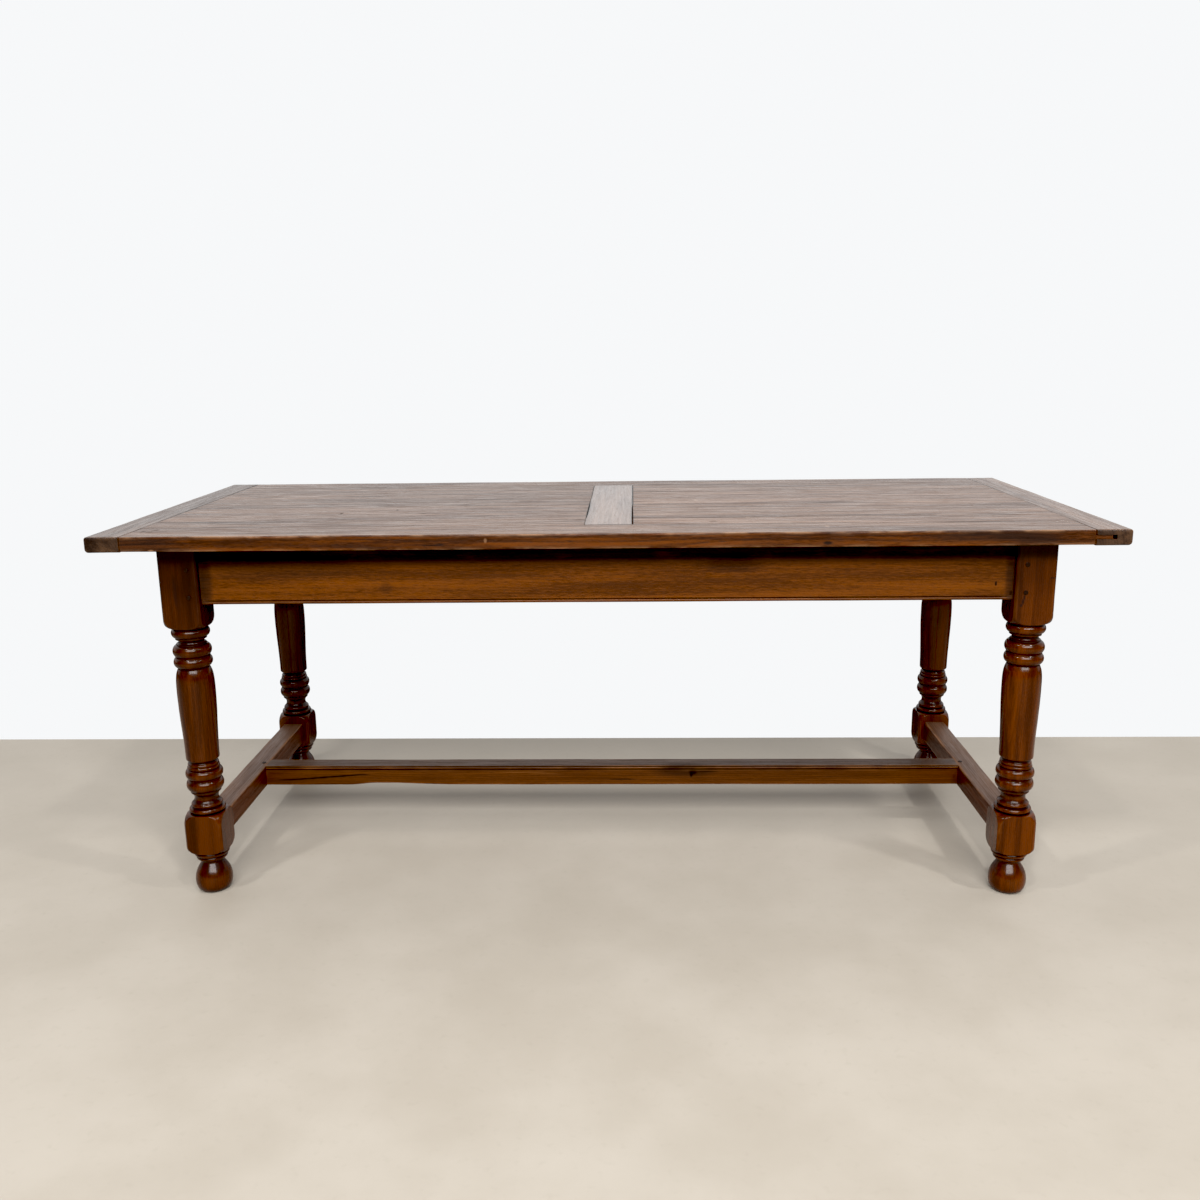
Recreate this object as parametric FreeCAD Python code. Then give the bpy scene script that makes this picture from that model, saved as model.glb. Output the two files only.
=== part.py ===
import FreeCAD, Part
import math
import os

# A joined oak farmhouse table: framed top, four turned legs, aprons and an H of stretchers.
# Millimetres. The floor is z = 0, +X runs along the table and the front faces -Y.

# Overall sizes
TABLE_LENGTH = 1944.0
TABLE_WIDTH = 806.0
TABLE_HEIGHT = 760.0
END_OVERHANG = 111.5      # top past the outer faces of the legs, at each end
SIDE_OVERHANG = 51.5      # the same, at the front and at the back

# Top: end boards, rails and a cross rail round two fields of boards
TOP_THICKNESS = 29.0
END_BOARD_WIDTH = 67.0
END_BOARD_DROP = 1.2      # the end boards hang this much below the rails
END_EDGE_RADIUS = 7.0     # rounded outer edge of the end boards
RAIL_EDGE_RADIUS = 2.5    # eased outer edge of the rails
FRONT_RAIL_WIDTH = 104.0
BACK_RAIL_WIDTH = 90.0
CROSS_RAIL_WIDTH = 94.0
CROSS_RAIL_OFFSET = 12.0  # from the middle of the table, towards +X
BOARD_GAP = 0.6           # dry line between neighbours
TONGUE_THICKNESS = 8.4
EDGE_TONGUE = 10.0        # boards and cross rail into their neighbours
EDGE_GROOVE_GAP = 1.0     # left at the bottom of those grooves
END_TONGUE = 31.0         # boards and rails into the end boards
END_GROOVE_DEPTH = 38.0
END_GROOVE_SLACK = 1.2    # open line above the shrunk tongues in the end boards
END_GROOVE_STOP = 30.0    # the left end board's groove stops this far from the edges of the table
LEFT_BOARD_SHARES = (0.115, 0.330, 0.170, 0.385)    # of the field's depth, front to back
RIGHT_BOARD_SHARES = (0.132, 0.323, 0.345, 0.200)

# Legs: two square blocks with turned stretches above, between and below
LEG_SQUARE = 77.0
LEG_CHAMFER = 4.0
UPPER_BLOCK_HEIGHT = 164.5
UPPER_TURNING_HEIGHT = 85.8
LOWER_TURNING_HEIGHT = 113.0
LOWER_BLOCK_HEIGHT = 84.0
COLLAR_HEIGHT = 29.0      # rings between the lower block and the foot
FOOT_HEIGHT = 61.0
UPPER_SHOULDER = 22.0     # height of the turned round below the upper block
LOWER_SHOULDER_TOP = 26.0 # the same on the lower block, at its top and at its foot
LOWER_SHOULDER_FOOT = 20.0
CORNER_MARGIN = 0.4       # the lathe's round stays this far outside the corners of the square
VASE_LIP_RADIUS = 4.0     # rounded lower corner of the long swelling

# Each row of a turning: its form, its share of the stretch's height, its share of half the leg's square
UPPER_TURNING_SHARES = (
    ("step", 0.045, 0.88),
    ("bead", 0.193, 0.97),
    ("step", 0.062, 0.79),
    ("cove", 0.105, 0.65),
    ("step", 0.041, 0.76),
    ("bead", 0.268, 0.98),
    ("step", 0.015, 0.88),
    ("bead", 0.233, 0.98),
    ("step", 0.038, 0.80),
)
LOWER_TURNING_SHARES = (
    ("cove", 0.056, 0.70),
    ("bead", 0.055, 0.80),
    ("bead", 0.062, 0.84),
    ("bead", 0.182, 0.97),
    ("step", 0.014, 0.87),
    ("bead", 0.206, 0.97),
    ("step", 0.043, 0.79),
    ("cove", 0.200, 0.62),
    ("bead", 0.067, 0.81),
    ("step", 0.017, 0.77),
    ("bead", 0.098, 0.94),
)
COLLAR_SHARES = (
    ("step", 0.070, 0.90),
    ("bead", 0.290, 0.93),
    ("step", 0.060, 0.81),
    ("bead", 0.250, 0.82),
    ("cove", 0.330, 0.58),
)
VASE_SHARES = (           # share of the way down the vase, share of half the leg's square
    (0.00, 0.800),
    (0.04, 0.885),
    (0.10, 0.945),
    (0.20, 0.970),
    (0.32, 0.968),
    (0.55, 0.932),
    (0.80, 0.880),
    (1.00, 0.862),
)
FOOT_SHARES = (           # the same for the bun foot
    (0.00, 0.620),
    (0.13, 0.745),
    (0.28, 0.873),
    (0.47, 0.955),
    (0.64, 0.970),
    (0.78, 0.940),
    (0.92, 0.840),
    (1.00, 0.610),
)
BEAD_DEPTH_SHARE = 0.24   # how far a bead stands out, as a share of its height

# Aprons
APRON_HEIGHT = 116.5
APRON_THICKNESS = 26.0
APRON_RECESS = 12.0       # behind the outer faces of the legs
APRON_TENON_THICKNESS = 10.0
APRON_TENON_LENGTH = 40.0
APRON_TENON_HEAD = 22.0   # solid wood left in the leg above the tenon
APRON_TENON_FOOT = 4.0    # shoulder below the tenon
BEAD_RADIUS = 3.0         # bead along the lower outer edge
BEAD_QUIRK = 1.8          # sunk line above the bead
BEAD_STOP = 14.0          # plain end of the apron beside each leg

# Stretchers
STRETCHER_TOP = 154.5
SIDE_STRETCHER_WIDTH = 49.0
SIDE_STRETCHER_DEPTH = 48.5
SIDE_TENON_THICKNESS = 16.0
SIDE_TENON_DEPTH = 34.0
SIDE_TENON_LENGTH = 52.0
STRETCHER_CHAMFER = 2.0
CENTRE_STRETCHER_WIDTH = 44.0
CENTRE_STRETCHER_DEPTH = 47.0
CENTRE_RELIEF = 4.5       # depth of the worn hollow in the underside
RELIEF_START = 195.0      # from the left shoulder to the hollow
RELIEF_RISE = 60.0        # length of its steep left end
RELIEF_FLAT = 50.0        # length of its level part
RELIEF_FALL = 125.0       # length of its slow right end
CENTRE_TENON_THICKNESS = 14.0
CENTRE_TENON_DEPTH = 28.0
CENTRE_TENON_LENGTH = 32.0
MOULD_RADIUS = 2.6        # bead near the upper front edge
MOULD_QUIRK = 1.5         # sunk line on each side of that bead
MOULD_FILLET = 2.0        # flat strip above it

# Pegs
PEG_DIAMETER = 9.0
PEG_LENGTH = 47.0
PEG_PROUD = 1.0
PEG_ROUND = 0.8
PEG_INSET = 20.0          # from the shoulder of the joint
PEG_RISE = 16.5           # lower peg above the apron's lower edge
PEG_SPACING = 54.0        # from the lower peg to the upper
CENTRE_PEG_INSET = 11.0   # from the shoulder of the centre stretcher
CENTRE_PEG_LENGTH = 40.0

# Buttons that hold the top down
BUTTON_WIDTH = 38.0
BUTTON_LENGTH = 50.0
BUTTON_HEIGHT = 18.0
BUTTON_TONGUE = 9.0
BUTTON_TONGUE_THICKNESS = 8.0
BUTTON_REST = 8.0         # wood above the tongue
LONG_BUTTON_SHARES = (-0.75, -0.25, 0.25, 0.75)     # places, of half the apron's clear length
SHORT_BUTTON_SHARES = (-0.45, 0.45)
SCREW_DIAMETER = 5.0
SCREW_HEAD_DIAMETER = 9.6
SCREW_HEAD_HEIGHT = 3.0
SCREW_GRIP = 12.0         # into the top
SCREW_POINT = 5.0
SCREW_INSET = 30.0        # from the apron's inner face

# Fits
JOINT_CLEARANCE = 0.2     # beside every tenon and tongue
MORTISE_END_GAP = 2.0     # beyond the end of every tenon
PEG_CLEARANCE = 0.15      # round every peg and screw
OVERRUN = 5.0             # cuts run this far past a face
TOLERANCE = 0.001

# Places that follow from the sizes
half_length = TABLE_LENGTH / 2
half_width = TABLE_WIDTH / 2
half_leg = LEG_SQUARE / 2
half_gap = BOARD_GAP / 2
top_under = TABLE_HEIGHT - TOP_THICKNESS
leg_x = half_length - END_OVERHANG - half_leg
leg_y = half_width - SIDE_OVERHANG - half_leg
clear_x = leg_x - half_leg
clear_y = leg_y - half_leg
end_joint = half_length - END_BOARD_WIDTH
field_front = FRONT_RAIL_WIDTH - half_width
field_back = half_width - BACK_RAIL_WIDTH
cross_left = CROSS_RAIL_OFFSET - CROSS_RAIL_WIDTH / 2
cross_right = CROSS_RAIL_OFFSET + CROSS_RAIL_WIDTH / 2
tongue_low = top_under + (TOP_THICKNESS - TONGUE_THICKNESS) / 2
tongue_high = tongue_low + TONGUE_THICKNESS
edge_groove = EDGE_TONGUE + EDGE_GROOVE_GAP
apron_low = top_under - APRON_HEIGHT
apron_tenon_low = apron_low + APRON_TENON_FOOT
apron_tenon_high = top_under - APRON_TENON_HEAD
peg_heights = (apron_low + PEG_RISE, apron_low + PEG_RISE + PEG_SPACING)
collar_base = FOOT_HEIGHT
lower_block_base = collar_base + COLLAR_HEIGHT
lower_block_top = lower_block_base + LOWER_BLOCK_HEIGHT
upper_block_base = top_under - UPPER_BLOCK_HEIGHT
vase_base = lower_block_top + LOWER_TURNING_HEIGHT
vase_top = upper_block_base - UPPER_TURNING_HEIGHT
stretcher_middle = STRETCHER_TOP - SIDE_STRETCHER_DEPTH / 2
centre_middle = STRETCHER_TOP - CENTRE_STRETCHER_DEPTH / 2
centre_shoulder = leg_x - SIDE_STRETCHER_WIDTH / 2

ORIGIN = FreeCAD.Vector(0, 0, 0)
X_AXIS = FreeCAD.Vector(1, 0, 0)
Y_AXIS = FreeCAD.Vector(0, 1, 0)
Z_AXIS = FreeCAD.Vector(0, 0, 1)
DIAGONAL = FreeCAD.Vector(1, -1, 0)
CORNERS = (
    ("front_left", -1, -1),
    ("front_right", 1, -1),
    ("back_left", -1, 1),
    ("back_right", 1, 1),
)
QUARTER_TURN = 90
QUARTER_WEIGHT = math.sin(math.radians(45))    # makes a three-point curve a quarter ellipse
SIDES = ("front", "right", "back", "left")          # each a quarter turn on from the last


def block(xs, ys, zs):
    """A box between two limits on each axis, given in either order."""
    low = FreeCAD.Vector(min(xs), min(ys), min(zs))
    size = FreeCAD.Vector(max(xs), max(ys), max(zs)) - low
    return Part.makeBox(size.x, size.y, size.z, low)


def rod(radius, start, direction, length):
    """A round bar from a point along a direction."""
    return Part.makeCylinder(radius, length, start, direction)


def joined(shapes):
    """One solid out of several that touch."""
    whole = shapes[0]
    for other in shapes[1:]:
        whole = whole.fuse(other)
    return whole.removeSplitter()


def eased(shape, radius, wanted):
    """Round the edges whose middle points pass a test."""
    edges = [edge for edge in shape.Edges if wanted(edge.CenterOfMass)]
    return shape.makeFillet(radius, edges)


def near(value, target):
    return abs(value - target) < TOLERANCE


# Top

def top_piece(body, tongues, grooves, low=top_under, slack=0):
    """A board: x and y limits of its full thickness, of its tongues and of its grooves."""
    solid = block(body[0], body[1], (low, TABLE_HEIGHT))
    for tongue in tongues:
        solid = solid.fuse(block(tongue[0], tongue[1], (tongue_low, tongue_high)))
    slot = (tongue_low - JOINT_CLEARANCE, tongue_high + JOINT_CLEARANCE + slack)
    for groove in grooves:
        solid = solid.cut(block(groove[0], groove[1], slot))
    return solid.removeSplitter()


def end_board(side, groove_end):
    """One end board; its groove runs this far to the front and back of the middle."""
    xs = (side * (end_joint + half_gap), side * half_length)
    groove = ((side * end_joint, side * (end_joint + END_GROOVE_DEPTH)), (-groove_end, groove_end))
    low = top_under - END_BOARD_DROP
    board = top_piece((xs, (-half_width, half_width)), [], [groove], low, END_GROOVE_SLACK)
    return eased(board, END_EDGE_RADIUS, lambda c: near(c.x, side * half_length) and near(c.y, 0))


def long_rail(outer, inner):
    """Front or back rail, from its outer edge to the line where the boards begin."""
    inwards = math.copysign(1, inner - outer)
    reach = end_joint + END_TONGUE
    edge = inner - inwards * half_gap
    stopped = outer + inwards * (END_GROOVE_STOP + MORTISE_END_GAP)
    tongues = [((-reach, 0), (stopped, edge)), ((0, reach), (outer, edge))]
    groove = ((-reach - OVERRUN, reach + OVERRUN), (inner - inwards * edge_groove, inner))
    rail = top_piece(((half_gap - end_joint, end_joint - half_gap), (outer, edge)), tongues, [groove])
    return eased(rail, RAIL_EDGE_RADIUS, lambda c: near(c.y, outer) and near(c.x, 0) and not tongue_edge(c))


def tongue_edge(centre):
    return near(centre.z, tongue_low) or near(centre.z, tongue_high)


def cross_rail():
    xs = (cross_left + half_gap, cross_right - half_gap)
    reach = (field_front - EDGE_TONGUE, field_back + EDGE_TONGUE)
    past = (reach[0] - OVERRUN, reach[1] + OVERRUN)
    grooves = [((cross_left, cross_left + edge_groove), past),
               ((cross_right - edge_groove, cross_right), past)]
    return top_piece((xs, (field_front + half_gap, field_back - half_gap)), [(xs, reach)], grooves)


def field_boards(outer, inner, shares):
    """The boards of one field, front to back; outer and inner are its x limits."""
    inwards = math.copysign(1, inner - outer)
    body_x = (outer + inwards * half_gap, inner - inwards * half_gap)
    core_x = (outer - inwards * END_TONGUE, inner + inwards * EDGE_TONGUE)
    past_x = (min(core_x) - OVERRUN, max(core_x) + OVERRUN)
    boards = []
    front = field_front
    for number, share in enumerate(shares):
        back = front + share * (field_back - field_front)
        last = number == len(shares) - 1
        core_back = back + EDGE_TONGUE if last else back - half_gap
        grooves = [] if last else [(past_x, (back - edge_groove, back))]
        body = (body_x, (front + half_gap, back - half_gap))
        boards.append(top_piece(body, [(core_x, (front - EDGE_TONGUE, core_back))], grooves))
        front = back
    return boards


# Legs

class HalfSection:
    """The outline of a turned leg on one side of its axis, drawn from the top down."""

    def __init__(self, radius, height):
        self.here = FreeCAD.Vector(radius, 0, height)
        self.edges = []

    def line(self, radius, height):
        there = FreeCAD.Vector(radius, 0, height)
        if there.distanceToPoint(self.here) > TOLERANCE:
            self.edges.append(Part.makeLine(self.here, there))
            self.here = there

    def arc(self, middle, radius, height):
        there = FreeCAD.Vector(radius, 0, height)
        through = FreeCAD.Vector(middle[0], 0, middle[1])
        self.edges.append(Part.Arc(self.here, through, there).toShape())
        self.here = there

    def curve(self, places):
        points = [FreeCAD.Vector(radius, 0, height) for radius, height in places]
        spline = Part.BSplineCurve()
        spline.interpolate(points)
        self.edges.append(spline.toShape())
        self.here = points[-1]

    def quarter(self, corner, radius, height):
        """A quarter ellipse whose end tangents meet at the corner."""
        there = FreeCAD.Vector(radius, 0, height)
        bend = Part.BezierCurve()
        bend.setPoles([self.here, FreeCAD.Vector(corner[0], 0, corner[1]), there])
        bend.setWeight(2, QUARTER_WEIGHT)
        self.edges.append(bend.toShape())
        self.here = there

    def solid(self):
        face = Part.Face(Part.Wire(Part.__sortEdges__(self.edges)))
        return face.revolve(ORIGIN, Z_AXIS, 360)


def bead_depth(form, height):
    return BEAD_DEPTH_SHARE * height if form == "bead" else 0


def turn_rows(section, rows, top, height, last_radius):
    """Draw a stretch of steps, beads and coves, and leave the outline at its lower end."""
    level = top
    for number, (form, height_share, radius_share) in enumerate(rows):
        tall = height_share * height
        radius = radius_share * half_leg
        root = radius - bead_depth(form, tall)
        middle = (radius, level - tall / 2)
        if form == "cove":
            after = rows[number + 1] if number + 1 < len(rows) else None
            leave = last_radius
            if after:
                leave = after[2] * half_leg - bead_depth(after[0], after[1] * height)
            section.arc(middle, leave, level - tall)
        else:
            section.line(root, level)
            if form == "bead":
                section.arc(middle, root, level - tall)
            else:
                section.line(root, level - tall)
        level -= tall


def swelling(shares, top, height):
    """Radius and height of each point along a swelling."""
    return [(share * half_leg, top - drop * height) for drop, share in shares]


def turned_blank():
    """The leg as the lathe leaves it, with the two blocks still larger than the square."""
    outside = math.hypot(half_leg, half_leg - LEG_CHAMFER) + CORNER_MARGIN
    inner = half_leg - TOLERANCE
    section = HalfSection(0, top_under)
    section.line(outside, top_under)
    section.line(outside, upper_block_base + UPPER_SHOULDER)
    section.quarter((outside, upper_block_base), inner, upper_block_base)

    vase = swelling(VASE_SHARES, vase_top, vase_top - vase_base - VASE_LIP_RADIUS)
    turn_rows(section, UPPER_TURNING_SHARES, upper_block_base, UPPER_TURNING_HEIGHT, vase[0][0])
    section.line(*vase[0])
    section.curve(vase)
    section.quarter((vase[-1][0], vase_base), vase[-1][0] - VASE_LIP_RADIUS, vase_base)

    turn_rows(section, LOWER_TURNING_SHARES, vase_base, LOWER_TURNING_HEIGHT, inner)
    section.line(inner, lower_block_top)
    section.quarter((outside, lower_block_top), outside, lower_block_top - LOWER_SHOULDER_TOP)
    section.line(outside, lower_block_base + LOWER_SHOULDER_FOOT)
    section.quarter((outside, lower_block_base), inner, lower_block_base)

    foot = swelling(FOOT_SHARES, FOOT_HEIGHT, FOOT_HEIGHT)
    turn_rows(section, COLLAR_SHARES, lower_block_base, COLLAR_HEIGHT, foot[0][0])
    section.curve(foot)
    section.line(0, 0)
    section.line(0, top_under)
    return section.solid()


def apron_peg(height, grown=0):
    """A peg through the long apron's tenon, about the leg's axis with the table's inside at +X and +Y."""
    start = FreeCAD.Vector(half_leg - PEG_INSET, -half_leg - PEG_PROUD, height)
    return rod(PEG_DIAMETER / 2 + grown, start, Y_AXIS, PEG_LENGTH + grown)


def stretcher_peg(grown=0):
    """A peg through the side stretcher's tenon, from the outer face of the lower block."""
    start = FreeCAD.Vector(-half_leg - PEG_PROUD, half_leg - PEG_INSET, stretcher_middle)
    return rod(PEG_DIAMETER / 2 + grown, start, X_AXIS, PEG_LENGTH + grown)


def apron_mortise():
    """The mortise for the long apron, about the leg's axis."""
    middle = APRON_RECESS + APRON_THICKNESS / 2 - half_leg
    half = APRON_TENON_THICKNESS / 2 + JOINT_CLEARANCE
    return block((half_leg - APRON_TENON_LENGTH - MORTISE_END_GAP, half_leg + OVERRUN),
                 (middle - half, middle + half),
                 (apron_tenon_low - JOINT_CLEARANCE, apron_tenon_high + JOINT_CLEARANCE))


def stretcher_mortise():
    half = SIDE_TENON_THICKNESS / 2 + JOINT_CLEARANCE
    tall = SIDE_TENON_DEPTH / 2 + JOINT_CLEARANCE
    return block((-half, half),
                 (half_leg - SIDE_TENON_LENGTH - MORTISE_END_GAP, half_leg + OVERRUN),
                 (stretcher_middle - tall, stretcher_middle + tall))


def leg():
    """One leg about its own axis, with the table's inside at +X and +Y."""
    square = block((-half_leg, half_leg), (-half_leg, half_leg), (0, top_under))
    uprights = [edge for edge in square.Edges if near(edge.CenterOfMass.z, top_under / 2)]
    solid = turned_blank().common(square.makeChamfer(LEG_CHAMFER, uprights))
    cuts = [apron_mortise()] + [apron_peg(height, PEG_CLEARANCE) for height in peg_heights]
    cuts += [cut.mirror(ORIGIN, DIAGONAL) for cut in cuts]
    cuts += [stretcher_mortise(), stretcher_peg(PEG_CLEARANCE)]
    for cut in cuts:
        solid = solid.cut(cut)
    return solid


def to_corner(shape, side_x, side_y):
    """Place a shape drawn about a leg's axis at one corner of the table."""
    if side_x > 0:
        shape = shape.mirror(ORIGIN, X_AXIS)
    if side_y > 0:
        shape = shape.mirror(ORIGIN, Y_AXIS)
    return shape.translated(FreeCAD.Vector(side_x * leg_x, side_y * leg_y, 0))


def apron_pegs():
    """The four pegs of one leg's apron joints, about the leg's axis."""
    face = -half_leg - PEG_PROUD
    pegs = [eased(apron_peg(height), PEG_ROUND, lambda c: near(c.y, face)) for height in peg_heights]
    return pegs + [peg.mirror(ORIGIN, DIAGONAL) for peg in pegs]


# Aprons

def apron(clear, outer, button_shares):
    """An apron at the front, between legs that stand clear to each side, its outer face at y = -outer."""
    face = -outer
    back = face + APRON_THICKNESS
    middle = (face + back) / 2
    body = block((-clear, clear), (face, back), (apron_low, top_under))

    bead_high = apron_low + 2 * BEAD_RADIUS + BEAD_QUIRK
    bead_end = clear - BEAD_STOP
    waste_y = (face - OVERRUN, face + BEAD_RADIUS)
    waste = block((-bead_end, bead_end), waste_y, (apron_low - OVERRUN, bead_high))
    core = FreeCAD.Vector(-bead_end, face + BEAD_RADIUS, apron_low + BEAD_RADIUS)
    waste = waste.cut(rod(BEAD_RADIUS, core, X_AXIS, 2 * bead_end))

    reach = clear + APRON_TENON_LENGTH
    tenon_y = (middle - APRON_TENON_THICKNESS / 2, middle + APRON_TENON_THICKNESS / 2)
    tenon = block((-reach, reach), tenon_y, (apron_tenon_low, apron_tenon_high))
    solid = joined([body.cut(waste), tenon])

    hole_radius = PEG_DIAMETER / 2 + PEG_CLEARANCE
    for height in peg_heights:
        for side in (-1, 1):
            start = FreeCAD.Vector(side * (clear + PEG_INSET), face - OVERRUN, height)
            solid = solid.cut(rod(hole_radius, start, Y_AXIS, APRON_THICKNESS + 2 * OVERRUN))
    for share in button_shares:
        solid = solid.cut(button_slot(share * clear, back))
    return solid


def quarter_turned(shape, turns):
    """Turn a shape drawn at the front of the table to another side."""
    turned = shape.copy()
    turned.rotate(ORIGIN, Z_AXIS, turns * QUARTER_TURN)
    return turned


def side_values(turns):
    """Clear half length, place of the outer face and button places for the apron on one side."""
    if turns % 2:
        return clear_y, leg_x + half_leg - APRON_RECESS, SHORT_BUTTON_SHARES
    return clear_x, leg_y + half_leg - APRON_RECESS, LONG_BUTTON_SHARES


# Buttons and their screws, drawn at the front of the table

button_tongue_z = (top_under - BUTTON_REST - BUTTON_TONGUE_THICKNESS, top_under - BUTTON_REST)


def button_slot(place, face):
    half = BUTTON_WIDTH / 2 + JOINT_CLEARANCE
    return block((place - half, place + half),
                 (face - BUTTON_TONGUE - MORTISE_END_GAP, face + OVERRUN),
                 (button_tongue_z[0] - JOINT_CLEARANCE, button_tongue_z[1] + JOINT_CLEARANCE))


def button(place, face):
    xs = (place - BUTTON_WIDTH / 2, place + BUTTON_WIDTH / 2)
    body = block(xs, (face + JOINT_CLEARANCE, face + BUTTON_LENGTH), (top_under - BUTTON_HEIGHT, top_under))
    tongue = block(xs, (face - BUTTON_TONGUE, face + BUTTON_LENGTH), button_tongue_z)
    return joined([body, tongue]).cut(screw(place, face, PEG_CLEARANCE))


def screw(place, face, grown=0):
    """A countersunk screw up through a button into the top; grown makes the hole for it."""
    radius = SCREW_DIAMETER / 2 + grown
    head = SCREW_HEAD_DIAMETER / 2 + grown
    start = FreeCAD.Vector(place, face + SCREW_INSET, top_under - BUTTON_HEIGHT)
    shank = BUTTON_HEIGHT + SCREW_GRIP - SCREW_POINT
    cone = Part.makeCone(head, radius, SCREW_HEAD_HEIGHT, start, Z_AXIS)
    tip = Part.makeCone(radius, grown, SCREW_POINT + grown, start + Z_AXIS * shank, Z_AXIS)
    return joined([rod(radius, start, Z_AXIS, shank), cone, tip])


def around_table(make):
    """Collect make(place, face) for every button place on the four sides."""
    shapes = []
    for turns in range(len(SIDES)):
        clear, outer, shares = side_values(turns)
        for share in shares:
            shapes.append(quarter_turned(make(share * clear, APRON_THICKNESS - outer), turns))
    return shapes


# Stretchers

def side_stretcher():
    """The left side stretcher; its mortise for the centre stretcher opens towards +X."""
    half = SIDE_STRETCHER_WIDTH / 2
    low = STRETCHER_TOP - SIDE_STRETCHER_DEPTH
    bar = block((-leg_x - half, half - leg_x), (-clear_y, clear_y), (low, STRETCHER_TOP))
    bar = bar.makeChamfer(STRETCHER_CHAMFER, [edge for edge in bar.Edges if near(edge.CenterOfMass.y, 0)])
    thick = SIDE_TENON_THICKNESS / 2
    tall = SIDE_TENON_DEPTH / 2
    reach = clear_y + SIDE_TENON_LENGTH
    tenon_z = (stretcher_middle - tall, stretcher_middle + tall)
    tenon = block((-leg_x - thick, thick - leg_x), (-reach, reach), tenon_z)
    solid = joined([bar, tenon])

    slot = CENTRE_TENON_THICKNESS / 2 + JOINT_CLEARANCE
    deep = CENTRE_TENON_DEPTH / 2 + JOINT_CLEARANCE
    mortise_x = (-centre_shoulder - CENTRE_TENON_LENGTH - MORTISE_END_GAP, OVERRUN - centre_shoulder)
    solid = solid.cut(block(mortise_x, (-slot, slot), (centre_middle - deep, centre_middle + deep)))
    solid = solid.cut(centre_peg(PEG_CLEARANCE))
    for side_y in (-1, 1):
        solid = solid.cut(to_corner(stretcher_peg(PEG_CLEARANCE), -1, side_y))
    return solid


def centre_peg(grown=0):
    """The peg down through the left tenon of the centre stretcher."""
    start = FreeCAD.Vector(-centre_shoulder - CENTRE_PEG_INSET, 0, STRETCHER_TOP + PEG_PROUD)
    return rod(PEG_DIAMETER / 2 + grown, start, -Z_AXIS, CENTRE_PEG_LENGTH + grown)


def centre_stretcher():
    """A bar with a bead near its upper front edge and a shallow hollow in its underside."""
    half = CENTRE_STRETCHER_WIDTH / 2
    low = STRETCHER_TOP - CENTRE_STRETCHER_DEPTH
    bar = block((-centre_shoulder, centre_shoulder), (-half, half), (low, STRETCHER_TOP))

    rise_start = RELIEF_START - centre_shoulder
    rise_end = rise_start + RELIEF_RISE
    fall_start = rise_end + RELIEF_FLAT
    high = low + CENTRE_RELIEF
    corners = [(rise_start, low), (rise_end, high), (fall_start, high), (fall_start + RELIEF_FALL, low)]
    points = [FreeCAD.Vector(x, -half - OVERRUN, z) for x, z in corners]
    rise = Part.BezierCurve()
    rise.setPoles([points[0], FreeCAD.Vector((rise_start + rise_end) / 2, points[0].y, low),
                   FreeCAD.Vector((rise_start + rise_end) / 2, points[0].y, high), points[1]])
    edges = [rise.toShape()]
    edges += [Part.makeLine(points[step], points[(step + 1) % len(points)]) for step in (1, 2, 3)]
    waste = Part.Face(Part.Wire(edges)).extrude(Y_AXIS * (CENTRE_STRETCHER_WIDTH + 2 * OVERRUN))

    mould_high = STRETCHER_TOP - MOULD_FILLET
    mould_low = mould_high - 2 * (MOULD_RADIUS + MOULD_QUIRK)
    past = centre_shoulder + OVERRUN
    sunk = block((-past, past), (-half - OVERRUN, MOULD_RADIUS - half), (mould_low, mould_high))
    core = FreeCAD.Vector(-past, MOULD_RADIUS - half, (mould_low + mould_high) / 2)
    sunk = sunk.cut(rod(MOULD_RADIUS, core, X_AXIS, 2 * past))

    thick = CENTRE_TENON_THICKNESS / 2
    tall = CENTRE_TENON_DEPTH / 2
    reach = centre_shoulder + CENTRE_TENON_LENGTH
    tenon = block((-reach, reach), (-thick, thick), (centre_middle - tall, centre_middle + tall))
    solid = joined([bar.cut(waste).cut(sunk), tenon])
    for peg in both_ends(centre_peg(PEG_CLEARANCE)):
        solid = solid.cut(peg)
    return solid


def both_ends(shape):
    """A shape at the left end of the table, and its mirror image at the right."""
    return [shape, shape.mirror(ORIGIN, X_AXIS)]


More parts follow.
